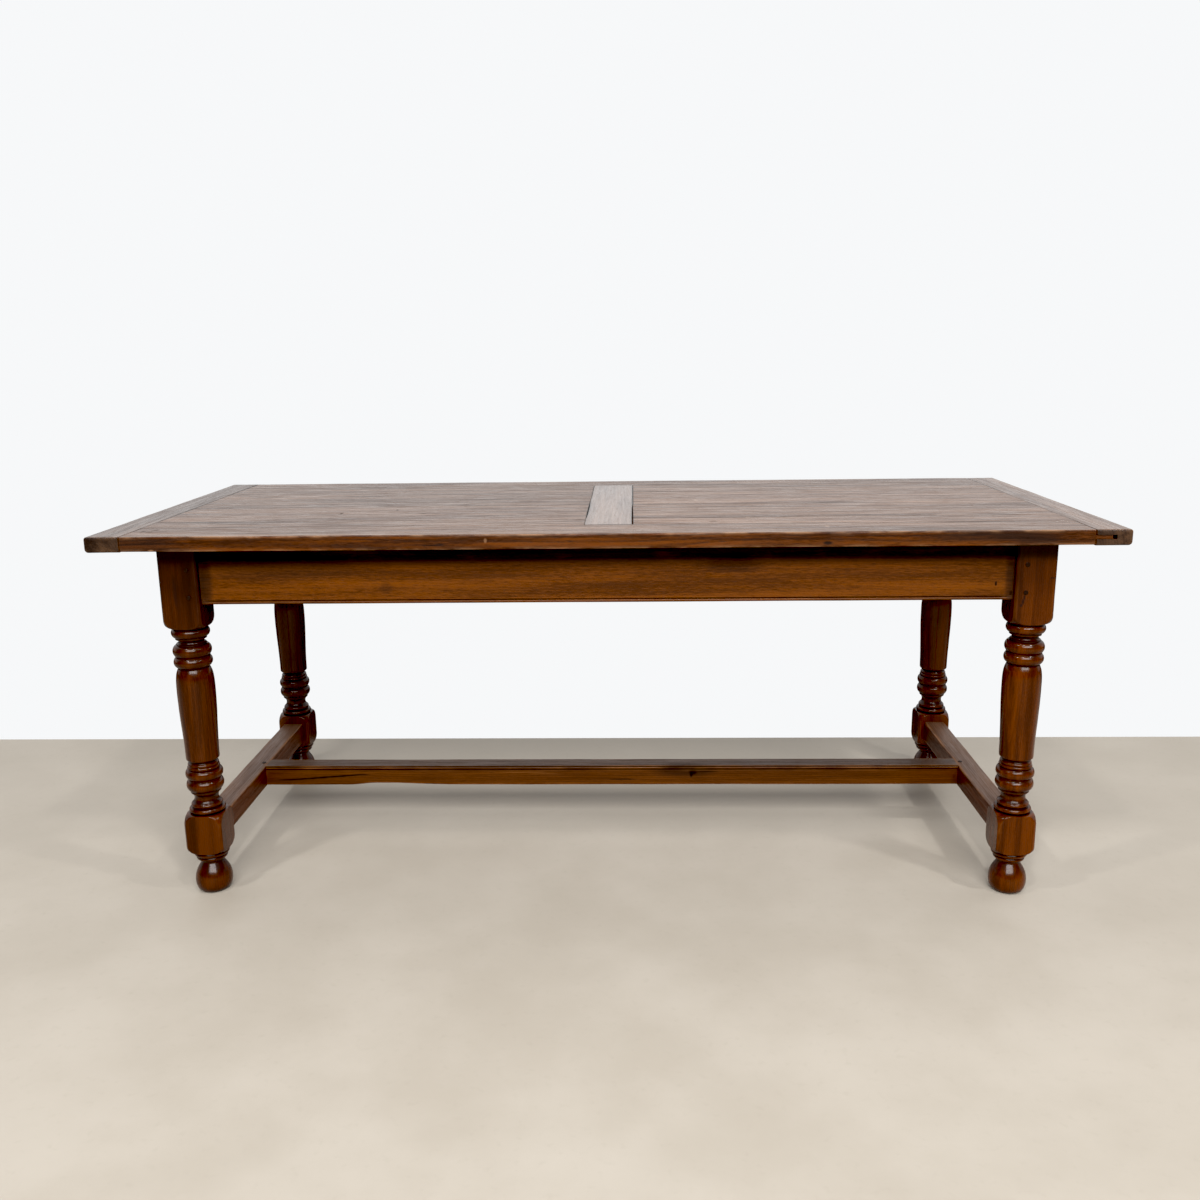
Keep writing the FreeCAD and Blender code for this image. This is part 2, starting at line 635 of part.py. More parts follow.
def all_pieces():
    """Every node of the table by name; a group of like pieces is one compound."""
    pieces = {
        "top_end_left": end_board(-1, half_width - END_GROOVE_STOP),
        "top_end_right": end_board(1, half_width + OVERRUN),
        "top_rail_front": long_rail(-half_width, field_front),
        "top_rail_back": long_rail(half_width, field_back),
        "top_cross_rail": cross_rail(),
    }
    fields = (("left", -end_joint, cross_left, LEFT_BOARD_SHARES),
              ("right", end_joint, cross_right, RIGHT_BOARD_SHARES))
    for side, outer, inner, shares in fields:
        for number, board in enumerate(field_boards(outer, inner, shares), 1):
            pieces["top_board_%s_%d" % (side, number)] = board
    for hole in around_table(lambda place, face: screw(place, face, PEG_CLEARANCE)):
        for name in pieces:
            if pieces[name].BoundBox.intersect(hole.BoundBox):
                pieces[name] = pieces[name].cut(hole)

    one_leg = leg()
    pegs = apron_pegs()
    for corner, side_x, side_y in CORNERS:
        pieces["leg_" + corner] = to_corner(one_leg, side_x, side_y)
        pieces["apron_pegs_" + corner] = Part.makeCompound([to_corner(peg, side_x, side_y) for peg in pegs])
    for turns, side in enumerate(SIDES):
        pieces["apron_" + side] = quarter_turned(apron(*side_values(turns)), turns)

    left, right = both_ends(side_stretcher())
    pieces["stretcher_left"] = left
    pieces["stretcher_right"] = right
    pieces["stretcher_centre"] = centre_stretcher()
    outer_face = -half_leg - PEG_PROUD
    peg = eased(stretcher_peg(), PEG_ROUND, lambda c: near(c.x, outer_face))
    pieces["stretcher_pegs"] = Part.makeCompound([to_corner(peg, sx, sy) for _, sx, sy in CORNERS])
    peg = eased(centre_peg(), PEG_ROUND, lambda c: near(c.z, STRETCHER_TOP + PEG_PROUD))
    pieces["centre_stretcher_pegs"] = Part.makeCompound(both_ends(peg))

    pieces["top_buttons"] = Part.makeCompound(around_table(button))
    pieces["button_screws"] = Part.makeCompound(around_table(screw))
    return pieces


os.makedirs("parts", exist_ok=True)
for name, shape in all_pieces().items():
    shape.exportStep("parts/%s.step" % name)
    print("%-24s %d solids %10.0f mm3 valid %s" % (name, len(shape.Solids), shape.Volume, shape.isValid()))
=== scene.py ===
from math import copysign, cos, pi, radians, sin, sqrt

import bpy
import numpy as np
from mathutils import Matrix, Vector
from mathutils.bvhtree import BVHTree


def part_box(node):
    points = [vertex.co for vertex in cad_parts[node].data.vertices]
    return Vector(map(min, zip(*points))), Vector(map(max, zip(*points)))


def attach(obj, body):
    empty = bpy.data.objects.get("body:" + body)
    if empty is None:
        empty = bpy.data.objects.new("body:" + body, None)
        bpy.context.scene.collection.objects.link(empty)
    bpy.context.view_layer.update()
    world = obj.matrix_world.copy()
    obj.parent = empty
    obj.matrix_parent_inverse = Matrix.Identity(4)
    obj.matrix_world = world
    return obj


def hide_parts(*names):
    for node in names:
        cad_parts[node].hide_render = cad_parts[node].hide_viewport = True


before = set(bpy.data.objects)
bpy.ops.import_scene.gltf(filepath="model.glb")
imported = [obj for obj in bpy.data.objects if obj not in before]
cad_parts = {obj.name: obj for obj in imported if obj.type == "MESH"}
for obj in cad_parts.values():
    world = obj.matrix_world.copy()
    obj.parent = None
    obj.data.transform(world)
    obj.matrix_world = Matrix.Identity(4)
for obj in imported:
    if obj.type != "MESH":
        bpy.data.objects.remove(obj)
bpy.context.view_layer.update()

# Looks of a joined oak farmhouse table: worn framed top, turned legs, aprons and an H of stretchers.
# Metres, in the frame of the CAD model. The front faces -Y.

SCENE = bpy.context.scene
MM = 0.001
ALONG_X, ALONG_Y = 0, 1
CORNERS = ("front_left", "front_right", "back_left", "back_right")

# Places read from the frame
FRONT_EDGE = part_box("top_rail_front")[0].y
BACK_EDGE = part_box("top_rail_back")[1].y
TOP_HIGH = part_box("top_rail_front")[1].z
APRON_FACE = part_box("apron_front")[0].y
LEG_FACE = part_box("leg_front_right")[0].y
CENTRE_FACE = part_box("stretcher_centre")[0].y

# Unevenness: one random lattice, read smoothly

LATTICE_SIZE = 40
LATTICE_SEED = 11
SEED_STEP = 7.31
LATTICE = np.random.default_rng(LATTICE_SEED).random((LATTICE_SIZE,) * 3)


def smooth(share):
    """An S-curve from 0 to 1."""
    return share * share * (3 - 2 * share)


def uneven(points, cell, seed=0):
    """Smooth noise from 0 to 1 at each point; cell is the size of a lump along each axis."""
    places = np.asarray(points) / np.asarray(cell) + seed * SEED_STEP
    base = np.floor(places).astype(int)
    part = smooth(places - base)
    total = np.zeros(places.shape[:-1])
    for corner in np.ndindex(2, 2, 2):
        share = np.ones_like(total)
        index = []
        for axis in range(3):
            side = part[..., axis] if corner[axis] else 1 - part[..., axis]
            share = share * side
            index.append((base[..., axis] + corner[axis]) % LATTICE_SIZE)
        total += share * LATTICE[tuple(index)]
    return total


def wander(limits, point, cell, seed):
    """A length that wanders between two limits from place to place."""
    low, high = limits
    return low + (high - low) * uneven([point], cell, seed)[0]


# Node materials

MIX_SHARE, MIX_FIRST, MIX_SECOND, MIX_RESULT = 0, 6, 7, 2  # sockets of a colour mix
SPOT_CORE = 0.35  # a mark starts to fade this far out
TREAD_SLOPE = (0.45, 0.9)  # Z of the normal where a face starts to look up, and where it does


class Nodes:
    """Short ways to add nodes to a node tree."""

    def __init__(self, tree):
        self.tree = tree

    def new(self, kind):
        return self.tree.nodes.new(kind)

    def feed(self, socket, value):
        """Link an output to a socket, or set the socket to a constant."""
        if isinstance(value, bpy.types.NodeSocket):
            self.tree.links.new(value, socket)
        elif isinstance(value, (tuple, list)) and len(value) == 3 and len(socket.default_value) == 4:
            socket.default_value = (*value, 1)
        else:
            socket.default_value = value

    def fed(self, node, inputs):
        """Feed a node's inputs and hand back its outputs."""
        for place, value in inputs.items():
            self.feed(node.inputs[place], value)
        return node.outputs

    def read(self, kind, output):
        """An output of a new node that needs no input."""
        return self.new(kind).outputs[output]

    def attribute(self, name, output="Fac"):
        node = self.new("ShaderNodeAttribute")
        node.attribute_name = name
        return node.outputs[output]

    def coordinate(self, vector, axis):
        return self.fed(self.new("ShaderNodeSeparateXYZ"), {0: vector})[axis]

    def math(self, operation, first, second=0.0, clamp=False):
        node = self.new("ShaderNodeMath")
        node.operation = operation
        node.use_clamp = clamp
        return self.fed(node, {0: first, 1: second})[0]

    def times(self, first, second):
        return self.math("MULTIPLY", first, second)

    def vector(self, operation, first, second=(0, 0, 0)):
        node = self.new("ShaderNodeVectorMath")
        node.operation = operation
        made = self.fed(node, {0: first, 1: second})
        return made["Value" if operation == "LENGTH" else "Vector"]

    def noise(self, vector, scale, detail, rough, output="Fac"):
        node = self.new("ShaderNodeTexNoise")
        inputs = {"Vector": vector, "Scale": scale, "Detail": detail, "Roughness": rough}
        return self.fed(node, inputs)[output]

    def ease(self, value, low, high, to_low=0.0, to_high=1.0):
        """A smooth step of a value between two limits."""
        node = self.new("ShaderNodeMapRange")
        node.interpolation_type = "SMOOTHSTEP"
        limits = {"From Min": low, "From Max": high, "To Min": to_low, "To Max": to_high}
        return self.fed(node, {"Value": value, **limits})["Result"]

    def mix(self, share, first, second, blend="MIX"):
        node = self.new("ShaderNodeMix")
        node.data_type = "RGBA"
        node.blend_type = blend
        return self.fed(node, {MIX_SHARE: share, MIX_FIRST: first, MIX_SECOND: second})[MIX_RESULT]

    def spot(self, place, centre, size):
        """1 inside a small ellipsoid, fading to 0 at its skin."""
        away = self.vector("DIVIDE", self.vector("SUBTRACT", place, centre), size)
        return self.ease(self.vector("LENGTH", away), SPOT_CORE, 1.0, 1.0, 0.0)

    def facing_up(self):
        """1 on faces that look up, 0 on upright ones."""
        normal = self.read("ShaderNodeNewGeometry", "Normal")
        return self.ease(self.coordinate(normal, "Z"), *TREAD_SLOPE)


class Finish(Nodes):
    """A new material with one shader."""

    def __init__(self, name):
        self.material = bpy.data.materials.new(name)
        self.material.use_nodes = True
        super().__init__(self.material.node_tree)
        self.tree.nodes.clear()
        output = self.new("ShaderNodeOutputMaterial")
        self.shader = self.new("ShaderNodeBsdfPrincipled")
        self.tree.links.new(self.shader.outputs[0], output.inputs["Surface"])
        self.where = self.read("ShaderNodeTexCoord", "Object")

    def set(self, **inputs):
        """Set or link the shader's inputs; an underscore stands for a space."""
        self.fed(self.shader, {name.replace("_", " "): value for name, value in inputs.items()})

    def bump(self, height, strength, distance):
        node = self.new("ShaderNodeBump")
        self.set(Normal=self.fed(node, {"Height": height, "Strength": strength, "Distance": distance})[0])


# Layers of noise in oak, as scale, detail and roughness
BROAD = (1.7, 3.0, 0.5)
MEDIUM = (3.7, 3.0, 0.6)
STREAK = (9.0, 5.0, 0.7)
DASH = (72.0, 2.0, 0.6)
PATCH = (14.0, 3.0, 0.6)
DRIFT = (4.0, 2.0, 0.5)

# How much finer those layers are across the grain
GRAIN_SQUEEZE = 24
DASH_SQUEEZE = 14
PATCH_SQUEEZE = 3.0
DRIFT_RUN = 0.3  # scale along it

# Where a layer starts to show and where it is full
EARLY_START = (0.0, 0.15)
EARLY_FINISH = (0.2, 0.8)
PORE_LIMITS = (0.5, 0.68)
GLOSS_LIMITS = (0.35, 0.65)
WORN_LIMITS = (0.4, 0.66)
DIRT_AND_SHADE_LIMITS = (0.2, 0.5)

EARLY_DARK = 0.5  # early wood and pores, as shares of the dark colour
PORE_DARK = 0.2
PORE_EARLY, PORE_LATE = 0.65, 0.35
MARK_DEPTH = 1.5  # a mark is this much deeper than a pore
SUNK_ROUGH = 0.25
# dirt and painted shade: least share in patches, full share and added roughness
DIRT_AND_SHADE_LEAST = 0.75
DIRT_AND_SHADE_SHARE = 0.97
DIRT_AND_SHADE_ROUGH = 0.12
COAT_ROUGH = 0.12
STREAK_HEIGHT = 0.6  # heights for the bump, beside the pores' depth of 1
EARLY_DEPTH = 0.35
GRAIN_DEPTH = 0.5 * MM


def stretched(grain, across, along=1.0):
    """Scales along X, Y and Z for a texture that runs with the grain."""
    return tuple(along if axis == grain else across for axis in "XYZ")


def early_wood(make, place, grain, rings, swirl):
    """1 in the porous part of each year's ring, round a heart that wanders a little."""
    slow = make.vector("MULTIPLY", place, stretched(grain, 1.0, DRIFT_RUN))
    drift = make.vector("SUBTRACT", make.noise(slow, *DRIFT, "Color"), (0.5, 0.5, 0.5))
    bent = make.vector("ADD", place, make.vector("MULTIPLY", drift, (swirl, swirl, swirl)))
    radius = make.vector("LENGTH", make.vector("MULTIPLY", bent, stretched(grain, 1.0, 0.0)))
    year = make.math("FRACT", make.times(radius, rings))
    return make.times(make.ease(year, *EARLY_START), make.ease(year, *EARLY_FINISH, 1.0, 0.0))


# the dirt colour paints marks, dirt and the painted shade below the top
def oak(name, grain, dark, light, wear, rough=(0.32, 0.5), rings=190.0, swirl=0.03, run=1.0, spread=0.16,
        shares=(0.35, 0.25, 0.22, 0.18), upper=None, ring_share=0.25, pore_share=0.6, marks=(), specks=(),
        dirt=(0.006, 0.003, 0.002), wear_share=0.6, bump=0.3, shine=0.25, coat=0.0, aged=True):
    """Stained oak: rings and pores along the grain, worn arrises, dirt in grooves, painted shade, single
    marks.

    The shares are those of the broad, medium, streaked and dashed layers. An aged piece carries its tone,
    shift, worn edges, and its dirt with the painted shade below the top, as attributes of its mesh.
    """
    make = Finish(name)
    where = make.where
    place = make.vector("ADD", where, make.attribute("shift", "Vector")) if aged else where
    along = make.vector("MULTIPLY", place, stretched(grain, GRAIN_SQUEEZE, run))
    early = early_wood(make, place, grain, rings, swirl)
    streak = make.noise(along, *STREAK)
    dashes = make.noise(make.vector("MULTIPLY", place, stretched(grain, DASH_SQUEEZE)), *DASH)
    layers = (make.noise(along, *BROAD), make.noise(along, *MEDIUM), streak, dashes)
    porous = make.math("ADD", make.times(early, PORE_EARLY), PORE_LATE)
    pore = make.times(make.ease(dashes, *PORE_LIMITS), porous)

    blend = 0.0
    for layer, share in zip(layers, shares):
        blend = make.math("ADD", blend, make.times(layer, share))
    tone = make.ease(blend, 0.5 - spread, 0.5 + spread)
    colour = make.mix(tone, dark, light)
    # upper faces may take other tones: painted sheen and painted shade on the stretchers
    if upper:
        colour = make.mix(make.facing_up(), colour, make.mix(tone, *upper))
    for layer, share, shade in ((early, ring_share, EARLY_DARK), (pore, pore_share, PORE_DARK)):
        colour = make.mix(make.times(layer, share), colour, tuple(shade * part for part in dark))
    if aged:
        colour = make.mix(1.0, colour, make.attribute("tone"), "MULTIPLY")

    sunk = pore
    for centre, size, shade in marks:
        mask = make.times(make.spot(where, centre, size), shade)
        colour = make.mix(mask, colour, dirt)
        sunk = make.math("ADD", sunk, make.times(mask, MARK_DEPTH))
    for centre, size, shade in specks:
        colour = make.mix(make.times(make.spot(where, centre, size), shade), colour, wear)

    gloss = make.ease(streak, *GLOSS_LIMITS, rough[1], rough[0])
    gloss = make.math("ADD", gloss, make.times(sunk, SUNK_ROUGH), clamp=True)
    if aged:
        patchy = make.noise(make.vector("MULTIPLY", place, stretched(grain, PATCH_SQUEEZE)), *PATCH)
        worn = make.times(make.attribute("edge"), make.ease(patchy, *WORN_LIMITS))
        colour = make.mix(make.times(worn, wear_share), colour, wear)
        # the groove attribute holds dirt and the painted shade below the top; both take the dirt colour
        dirt_and_shade_patches = make.ease(patchy, *DIRT_AND_SHADE_LIMITS, DIRT_AND_SHADE_LEAST, 1.0)
        dirt_and_shade = make.times(make.attribute("groove"), dirt_and_shade_patches)
        colour = make.mix(make.times(dirt_and_shade, DIRT_AND_SHADE_SHARE), colour, dirt)
        gloss = make.math("ADD", gloss, make.times(dirt_and_shade, DIRT_AND_SHADE_ROUGH), clamp=True)
    make.set(Base_Color=colour, Roughness=gloss, Coat_Weight=coat, Coat_Roughness=COAT_ROUGH,
             Specular_IOR_Level=shine)

    height = make.math("SUBTRACT", make.times(streak, STREAK_HEIGHT), sunk)
    height = make.math("SUBTRACT", height, make.times(early, EARLY_DEPTH))
    make.bump(height, bump, GRAIN_DEPTH)
    return make.material


STEEL_COLOUR = (0.24, 0.22, 0.2)
RUST_COLOUR = (0.1, 0.045, 0.02)
RUST = (420.0, 3.0, 0.5)
RUST_LIMITS = (0.45, 0.62)
STEEL_ROUGH, RUST_ROUGH = 0.32, 0.75
RUST_DEPTH = 0.1 * MM


def steel(name):
    """Dull screw steel with a little rust in patches."""
    make = Finish(name)
    patch = make.ease(make.noise(make.where, *RUST), *RUST_LIMITS)
    gloss = make.ease(patch, 0.0, 1.0, STEEL_ROUGH, RUST_ROUGH)
    make.set(Base_Color=make.mix(patch, STEEL_COLOUR, RUST_COLOUR), Roughness=gloss, Metallic=0.9)
    make.bump(patch, 0.2, RUST_DEPTH)
    return make.material


# Stains as the picture shows them under its light: dark, light and worn

EDGE_WORN = (0.3, 0.16, 0.08)
SIDE_WORN = (0.3, 0.12, 0.03)
TOP_STAIN = ((0.062, 0.027, 0.0135), (0.23, 0.136, 0.09), (0.33, 0.22, 0.15))
EDGE_STAIN = ((0.026, 0.0068, 0.0012), (0.116, 0.0325, 0.0048), EDGE_WORN)
END_STAIN = ((0.025, 0.0125, 0.008), (0.072, 0.039, 0.024), EDGE_WORN)
SIDE_STAIN = ((0.07, 0.019, 0.0014), (0.195, 0.055, 0.0044), SIDE_WORN)
RAIL_STAIN = ((0.065, 0.018, 0.0018), (0.13, 0.039, 0.0045), SIDE_WORN)
LEG_DARK = (0.042, 0.0085, 0.0004)
LEG_LIGHT = (0.12, 0.0272, 0.0012)
LEG_WORN = (0.22, 0.07, 0.012)
# leg dirt colour, also the colour of the painted shade below the top
LEG_DIRT_AND_SHADE = (0.009, 0.0016, 0.0013)
PEG_DARK = (0.005, 0.0016, 0.0006)
PEG_LIGHT = (0.018, 0.005, 0.0014)
TREAD_AND_SHEEN_TONES = ((0.085, 0.04, 0.022), (0.175, 0.096, 0.059))  # dark and light on upper faces: foot wear and a painted sheen
# dark and light on the centre stretcher's upper face: painted shade
CENTRE_SHADED_TOP_TONES = ((0.042, 0.018, 0.008), (0.095, 0.046, 0.022))

# Single marks: place on their face and size along X, Y and Z, in millimetres, and strength

TOP_KNOTS = (
    (-885, -338, (6, 12, 10), 0.6),
    (-866, -326, (11, 6, 10), 0.55),
    (-870, -347, (9, 5, 10), 0.5),
    (-554, -125, (4, 16, 10), 0.7),
    (-560, -119, (13, 6, 10), 0.35),
    (-379, -135, (10, 7, 10), 0.5),
    (-445, -80, (4, 10, 10), 0.8),
    (216, -267, (13, 6, 10), 0.6),
)
TOP_SPECKS = (
    (289, -220, (6, 11, 10), 0.7),
    (426, -340, (6, 10, 10), 0.7),
    (199, 36, (6, 16, 10), 0.7),
)
EDGE_MARKS = (
    (418, 738.6, (12, 12, 5), 0.9),
    (-312, 739.6, (30, 12, 1.2), 0.9),
    (-300, 742, (12, 12, 1.4), 0.8),
    (720, 748, (150, 30, 12), 0.5),
    (800, 740, (60, 30, 8), 0.5),
    (-890, 745, (120, 30, 30), 0.5),
    (-800, 735, (60, 30, 5), 0.5),
)
EDGE_SPECKS = (
    (-215, 748, (4, 12, 6), 0.45),
    (-845, 733, (8, 12, 3), 0.6),
)
APRON_MARKS = (
    (750, 646.4, (3, 12, 6.5), 0.95),
    (779.7, 627.8, (4, 12, 6), 0.8),
    (-772, 660, (18, 12, 70), 0.6),
    (776, 660, (12, 12, 70), 0.5),
    (-640, 690, (230, 60, 40), 0.4),
    (250, 688, (80, 60, 24), 0.45),
    (-420, 645, (18, 60, 16), 0.35),
)
CENTRE_KNOT = (
    (194, 138.5, (13, 14, 10), 0.95),
    (190, 132, (5, 14, 9), 0.95),
    (225, 139.2, (35, 12, 2), 0.9),
    (175, 142, (95, 30, 22), 0.6),
    (30, 121, (45, 12, 2.4), 0.85),
)
CENTRE_CRACK = (
    (-750, 120.3, (30, 12, 2.4), 0.9),
    (-725, 121.6, (30, 12, 2.6), 0.95),
    (-700, 123.2, (30, 12, 2.8), 0.95),
    (-676, 125.2, (30, 12, 3), 0.95),
    (-652, 127, (30, 12, 3), 0.95),
    (-628, 128.8, (30, 12, 2.8), 0.95),
    (-604, 130.8, (30, 12, 2.6), 0.95),
    (-578, 132.8, (30, 12, 2.4), 0.9),
)
CENTRE_STREAKS = (
    (-200, 138.5, (90, 12, 0.9), 0.6),
    (-150, 134.5, (50, 12, 0.7), 0.5),
)
LEG_MARKS = (
    (801.5, 621.5, (2.4, 10, 8), 0.9),
    (799.5, 613, (3.2, 10, 8), 0.9),
    (796.5, 606, (4, 10, 4), 0.85),
    (853.5, 659, (9, 10, 2.2), 0.8),
    (-830, 645, (5, 10, 50), 0.6),
)


def metres(size):
    return tuple(part * MM for part in size)


def on_top(rows):
    """Marks on the upper face of the top, from their X and Y."""
    return [((x * MM, y * MM, TOP_HIGH), metres(size), shade) for x, y, size, shade in rows]


def on_front(face, rows):
    """Marks on an upright front face, from their X and Z."""
    return [((x * MM, face, z * MM), metres(size), shade) for x, z, size, shade in rows]


# The woods

EDGE_GRAIN = dict(pore_share=0.8, ring_share=0.4, spread=0.08, shares=(0.2, 0.2, 0.3, 0.3))
APRON_GRAIN = dict(rings=330, pore_share=0.5, spread=0.075, shares=(0.25, 0.15, 0.2, 0.4))

top_long = oak("oak_top_boards", "X", *TOP_STAIN, rough=(0.18, 0.46), swirl=0.035, run=1.3, spread=0.12,
               shares=(0.45, 0.2, 0.2, 0.15), ring_share=0.4, marks=on_top(TOP_KNOTS),
               specks=on_top(TOP_SPECKS), bump=0.2, shine=0.45)
top_cross = oak("oak_top_cross", "Y", *TOP_STAIN, rough=(0.25, 0.35), spread=0.2, ring_share=0.15,
                pore_share=0.25, bump=0.05, shine=0.5, coat=0.5)
end_top = oak("oak_top_ends", "Y", *TOP_STAIN, rough=(0.2, 0.34), ring_share=0.12, pore_share=0.3,
              bump=0.08, shine=0.5)
rail_wood = oak("oak_top_rail", "X", *EDGE_STAIN, marks=on_front(FRONT_EDGE, EDGE_MARKS),
                specks=on_front(FRONT_EDGE, EDGE_SPECKS), wear_share=0.75, **EDGE_GRAIN)
end_side = oak("oak_end_edge", "Y", *EDGE_STAIN, wear_share=0.5, **EDGE_GRAIN)
end_grain = oak("oak_end_grain", "Y", *END_STAIN, wear_share=0.2)
apron_long = oak("oak_apron_long", "X", *SIDE_STAIN, ring_share=0.35,
                 marks=on_front(APRON_FACE, APRON_MARKS), **APRON_GRAIN)
apron_cross = oak("oak_apron_cross", "Y", *SIDE_STAIN, ring_share=0.3, **APRON_GRAIN)
stretcher_long = oak("oak_stretcher_long", "X", *RAIL_STAIN, spread=0.085, shares=(0.25, 0.2, 0.25, 0.3),
                     upper=CENTRE_SHADED_TOP_TONES, marks=on_front(CENTRE_FACE, CENTRE_KNOT + CENTRE_CRACK),
                     specks=on_front(CENTRE_FACE, CENTRE_STREAKS))
stretcher_cross = oak("oak_stretcher_cross", "Y", LEG_DARK, LEG_LIGHT, SIDE_WORN, upper=TREAD_AND_SHEEN_TONES,
                      pore_share=0.4, bump=0.12)
leg_wood = oak("oak_leg", "Z", LEG_DARK, LEG_LIGHT, LEG_WORN, rough=(0.2, 0.3), rings=260, spread=0.09,
               shares=(0.3, 0.25, 0.25, 0.2), ring_share=0.2, pore_share=0.4, dirt=LEG_DIRT_AND_SHADE,
               marks=on_front(LEG_FACE, LEG_MARKS), wear_share=0.3, bump=0.06, shine=0.15, coat=0.25)
peg_wood = oak("oak_peg", "Z", PEG_DARK, PEG_LIGHT, PEG_LIGHT, rough=(0.4, 0.6), rings=420, aged=False)
button_wood = oak("oak_button", "Y", *RAIL_STAIN, rings=300, aged=False)
screw_steel = steel("old_screw_steel")

# Meshes

UPPER_FACE = 0.8  # least Z in the normal of a face that looks up
SIDE_FACE = 0.3  # least X in the normal of a face that looks along X
SHARP_ANGLE = radians(38)
ARC_STEPS = 5
NEAR_ARRIS = (0.8 * MM, 2.5 * MM, 6 * MM)  # extra points beside each arris
NEAR_SHARE = 0.25  # but never further along a side than this share of it
SHARE_DIGITS = 5
ARRIS_WEAR = 0.5  # wear beside an arris, and how far it reaches
ARRIS_REACH = 4 * MM
END_SHARES = (0.0, 0.15, 0.4, 0.7, 1.0)  # rings over the rounded end of a beam
END_WEAR = 0.7
END_REACH = 3 * MM
LUMP = (0.09, 0.05, 0.05)  # size of a dent along a beam, across it and up
FINE_SPACING = 8 * MM
ON_FACE = 0.01 * MM  # nearer than this counts as on a face


def piece(name, rings, node, material, tone, shift, edge, groove=0.0, extra=(), upper=None, sides=None):
    """A closed skin over rings of points, standing for a CAD node.

    The shift is the piece's place in its log. Faces that look up can have a finish of their own, and so
    can faces that look along X.
    """
    points = []
    faces = []
    values = {"edge": [], "groove": [], "tone": []}
    for loops, loop_edge, loop_groove in [(rings, edge, groove), *extra]:
        first = len(points)
        count, size = loops.shape[:2]
        points.extend(loops.reshape(-1, 3).tolist())
        for label, given in (("edge", loop_edge), ("groove", loop_groove), ("tone", tone)):
            values[label].extend(np.broadcast_to(given, (count, size)).ravel().tolist())
        for row in range(count - 1):
            low = first + row * size
            for step in range(size):
                after = (step + 1) % size
                faces.append((low + step, low + after, low + size + after, low + size + step))
        last = first + (count - 1) * size
        faces.append(tuple(first + step for step in reversed(range(size))))
        faces.append(tuple(last + step for step in range(size)))
    mesh = bpy.data.meshes.new(name)
    mesh.from_pydata(points, [], faces)
    for label, given in values.items():
        mesh.attributes.new(label, "FLOAT", "POINT").data.foreach_set("value", given)
    shifts = mesh.attributes.new("shift", "FLOAT_VECTOR", "POINT")
    shifts.data.foreach_set("vector", list(shift) * len(points))
    mesh.shade_smooth()
    for face in mesh.polygons:
        face.use_smooth = len(face.vertices) == 4
    mesh.set_sharp_from_angle(angle=SHARP_ANGLE)
    for finish in (material, upper, sides):
        if finish:
            mesh.materials.append(finish)
    for face in mesh.polygons:
        if upper and face.normal.z > UPPER_FACE:
            face.material_index = 1
        elif sides and abs(face.normal.x) > SIDE_FACE:
            face.material_index = 2
    made = bpy.data.objects.new(name, mesh)
    SCENE.collection.objects.link(made)
    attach(made, "root")
    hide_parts(node)


def side_steps(length, spacing):
    """Shares along a flat side, closer together near its ends."""
    count = max(1, round(length / spacing))
    inner = [step / count for step in range(1, count)]
    near = [min(NEAR_SHARE, close / max(length, close)) for close in NEAR_ARRIS]
    return sorted({round(share, SHARE_DIGITS) for share in inner + near + [1 - share for share in near]})


def rounded(low, high, radii, spacing=12 * MM):
    """A rectangle with four rounded corners: points, outward normals and closeness to an arris.

    The corners run low-low, high-low, high-high, low-high.
    """
    centres = np.array([(low[0] + radii[0], low[1] + radii[0]), (high[0] - radii[1], low[1] + radii[1]),
                        (high[0] - radii[2], high[1] - radii[2]), (low[0] + radii[3], high[1] - radii[3])])
    sizes = (high[0] - low[0], high[1] - low[1])
    points = []
    normals = []
    close = []
    for corner in range(4):
        start = pi + corner * pi / 2
        for step in range(ARC_STEPS + 1):
            angle = start + step / ARC_STEPS * pi / 2
            normal = np.array([cos(angle), sin(angle)])
            points.append(centres[corner] + radii[corner] * normal)
            normals.append(normal)
            close.append(1 - (1 - ARRIS_WEAR) * abs(2 * step / ARC_STEPS - 1))
        after = (corner + 1) % 4
        here = points[-1]
        there = centres[after] + radii[after] * normal
        length = sizes[corner % 2]
        for share in side_steps(length, spacing):
            points.append(here + share * (there - here))
            normals.append(normal)
            nearest = min(share, 1 - share) * length
            close.append(ARRIS_WEAR * max(0.0, 1 - nearest / ARRIS_REACH))
    return np.array(points), np.array(normals), np.array(close)


def always(made):
    """A section that is the same all along a beam."""
    return lambda place: made


def spliced(columns, keep, spot, rows):
    """Columns of values round a loop, with new rows in place of the points that are not kept."""
    return [np.insert(values[keep], spot, new, axis=0) for values, new in zip(columns, zip(*rows))]


def stations(start, finish, ends, spacing):
    """Places along a beam, with close ones over the rounding at each end."""
    near = [share * ends for share in END_SHARES] + [2 * ends + MM]
    inner = np.linspace(start, finish, max(2, round((finish - start) / spacing)))
    middle = [place for place in inner if start + near[-1] < place < finish - near[-1]]
    return np.array([start + close for close in near] + middle + [finish - close for close in reversed(near)])


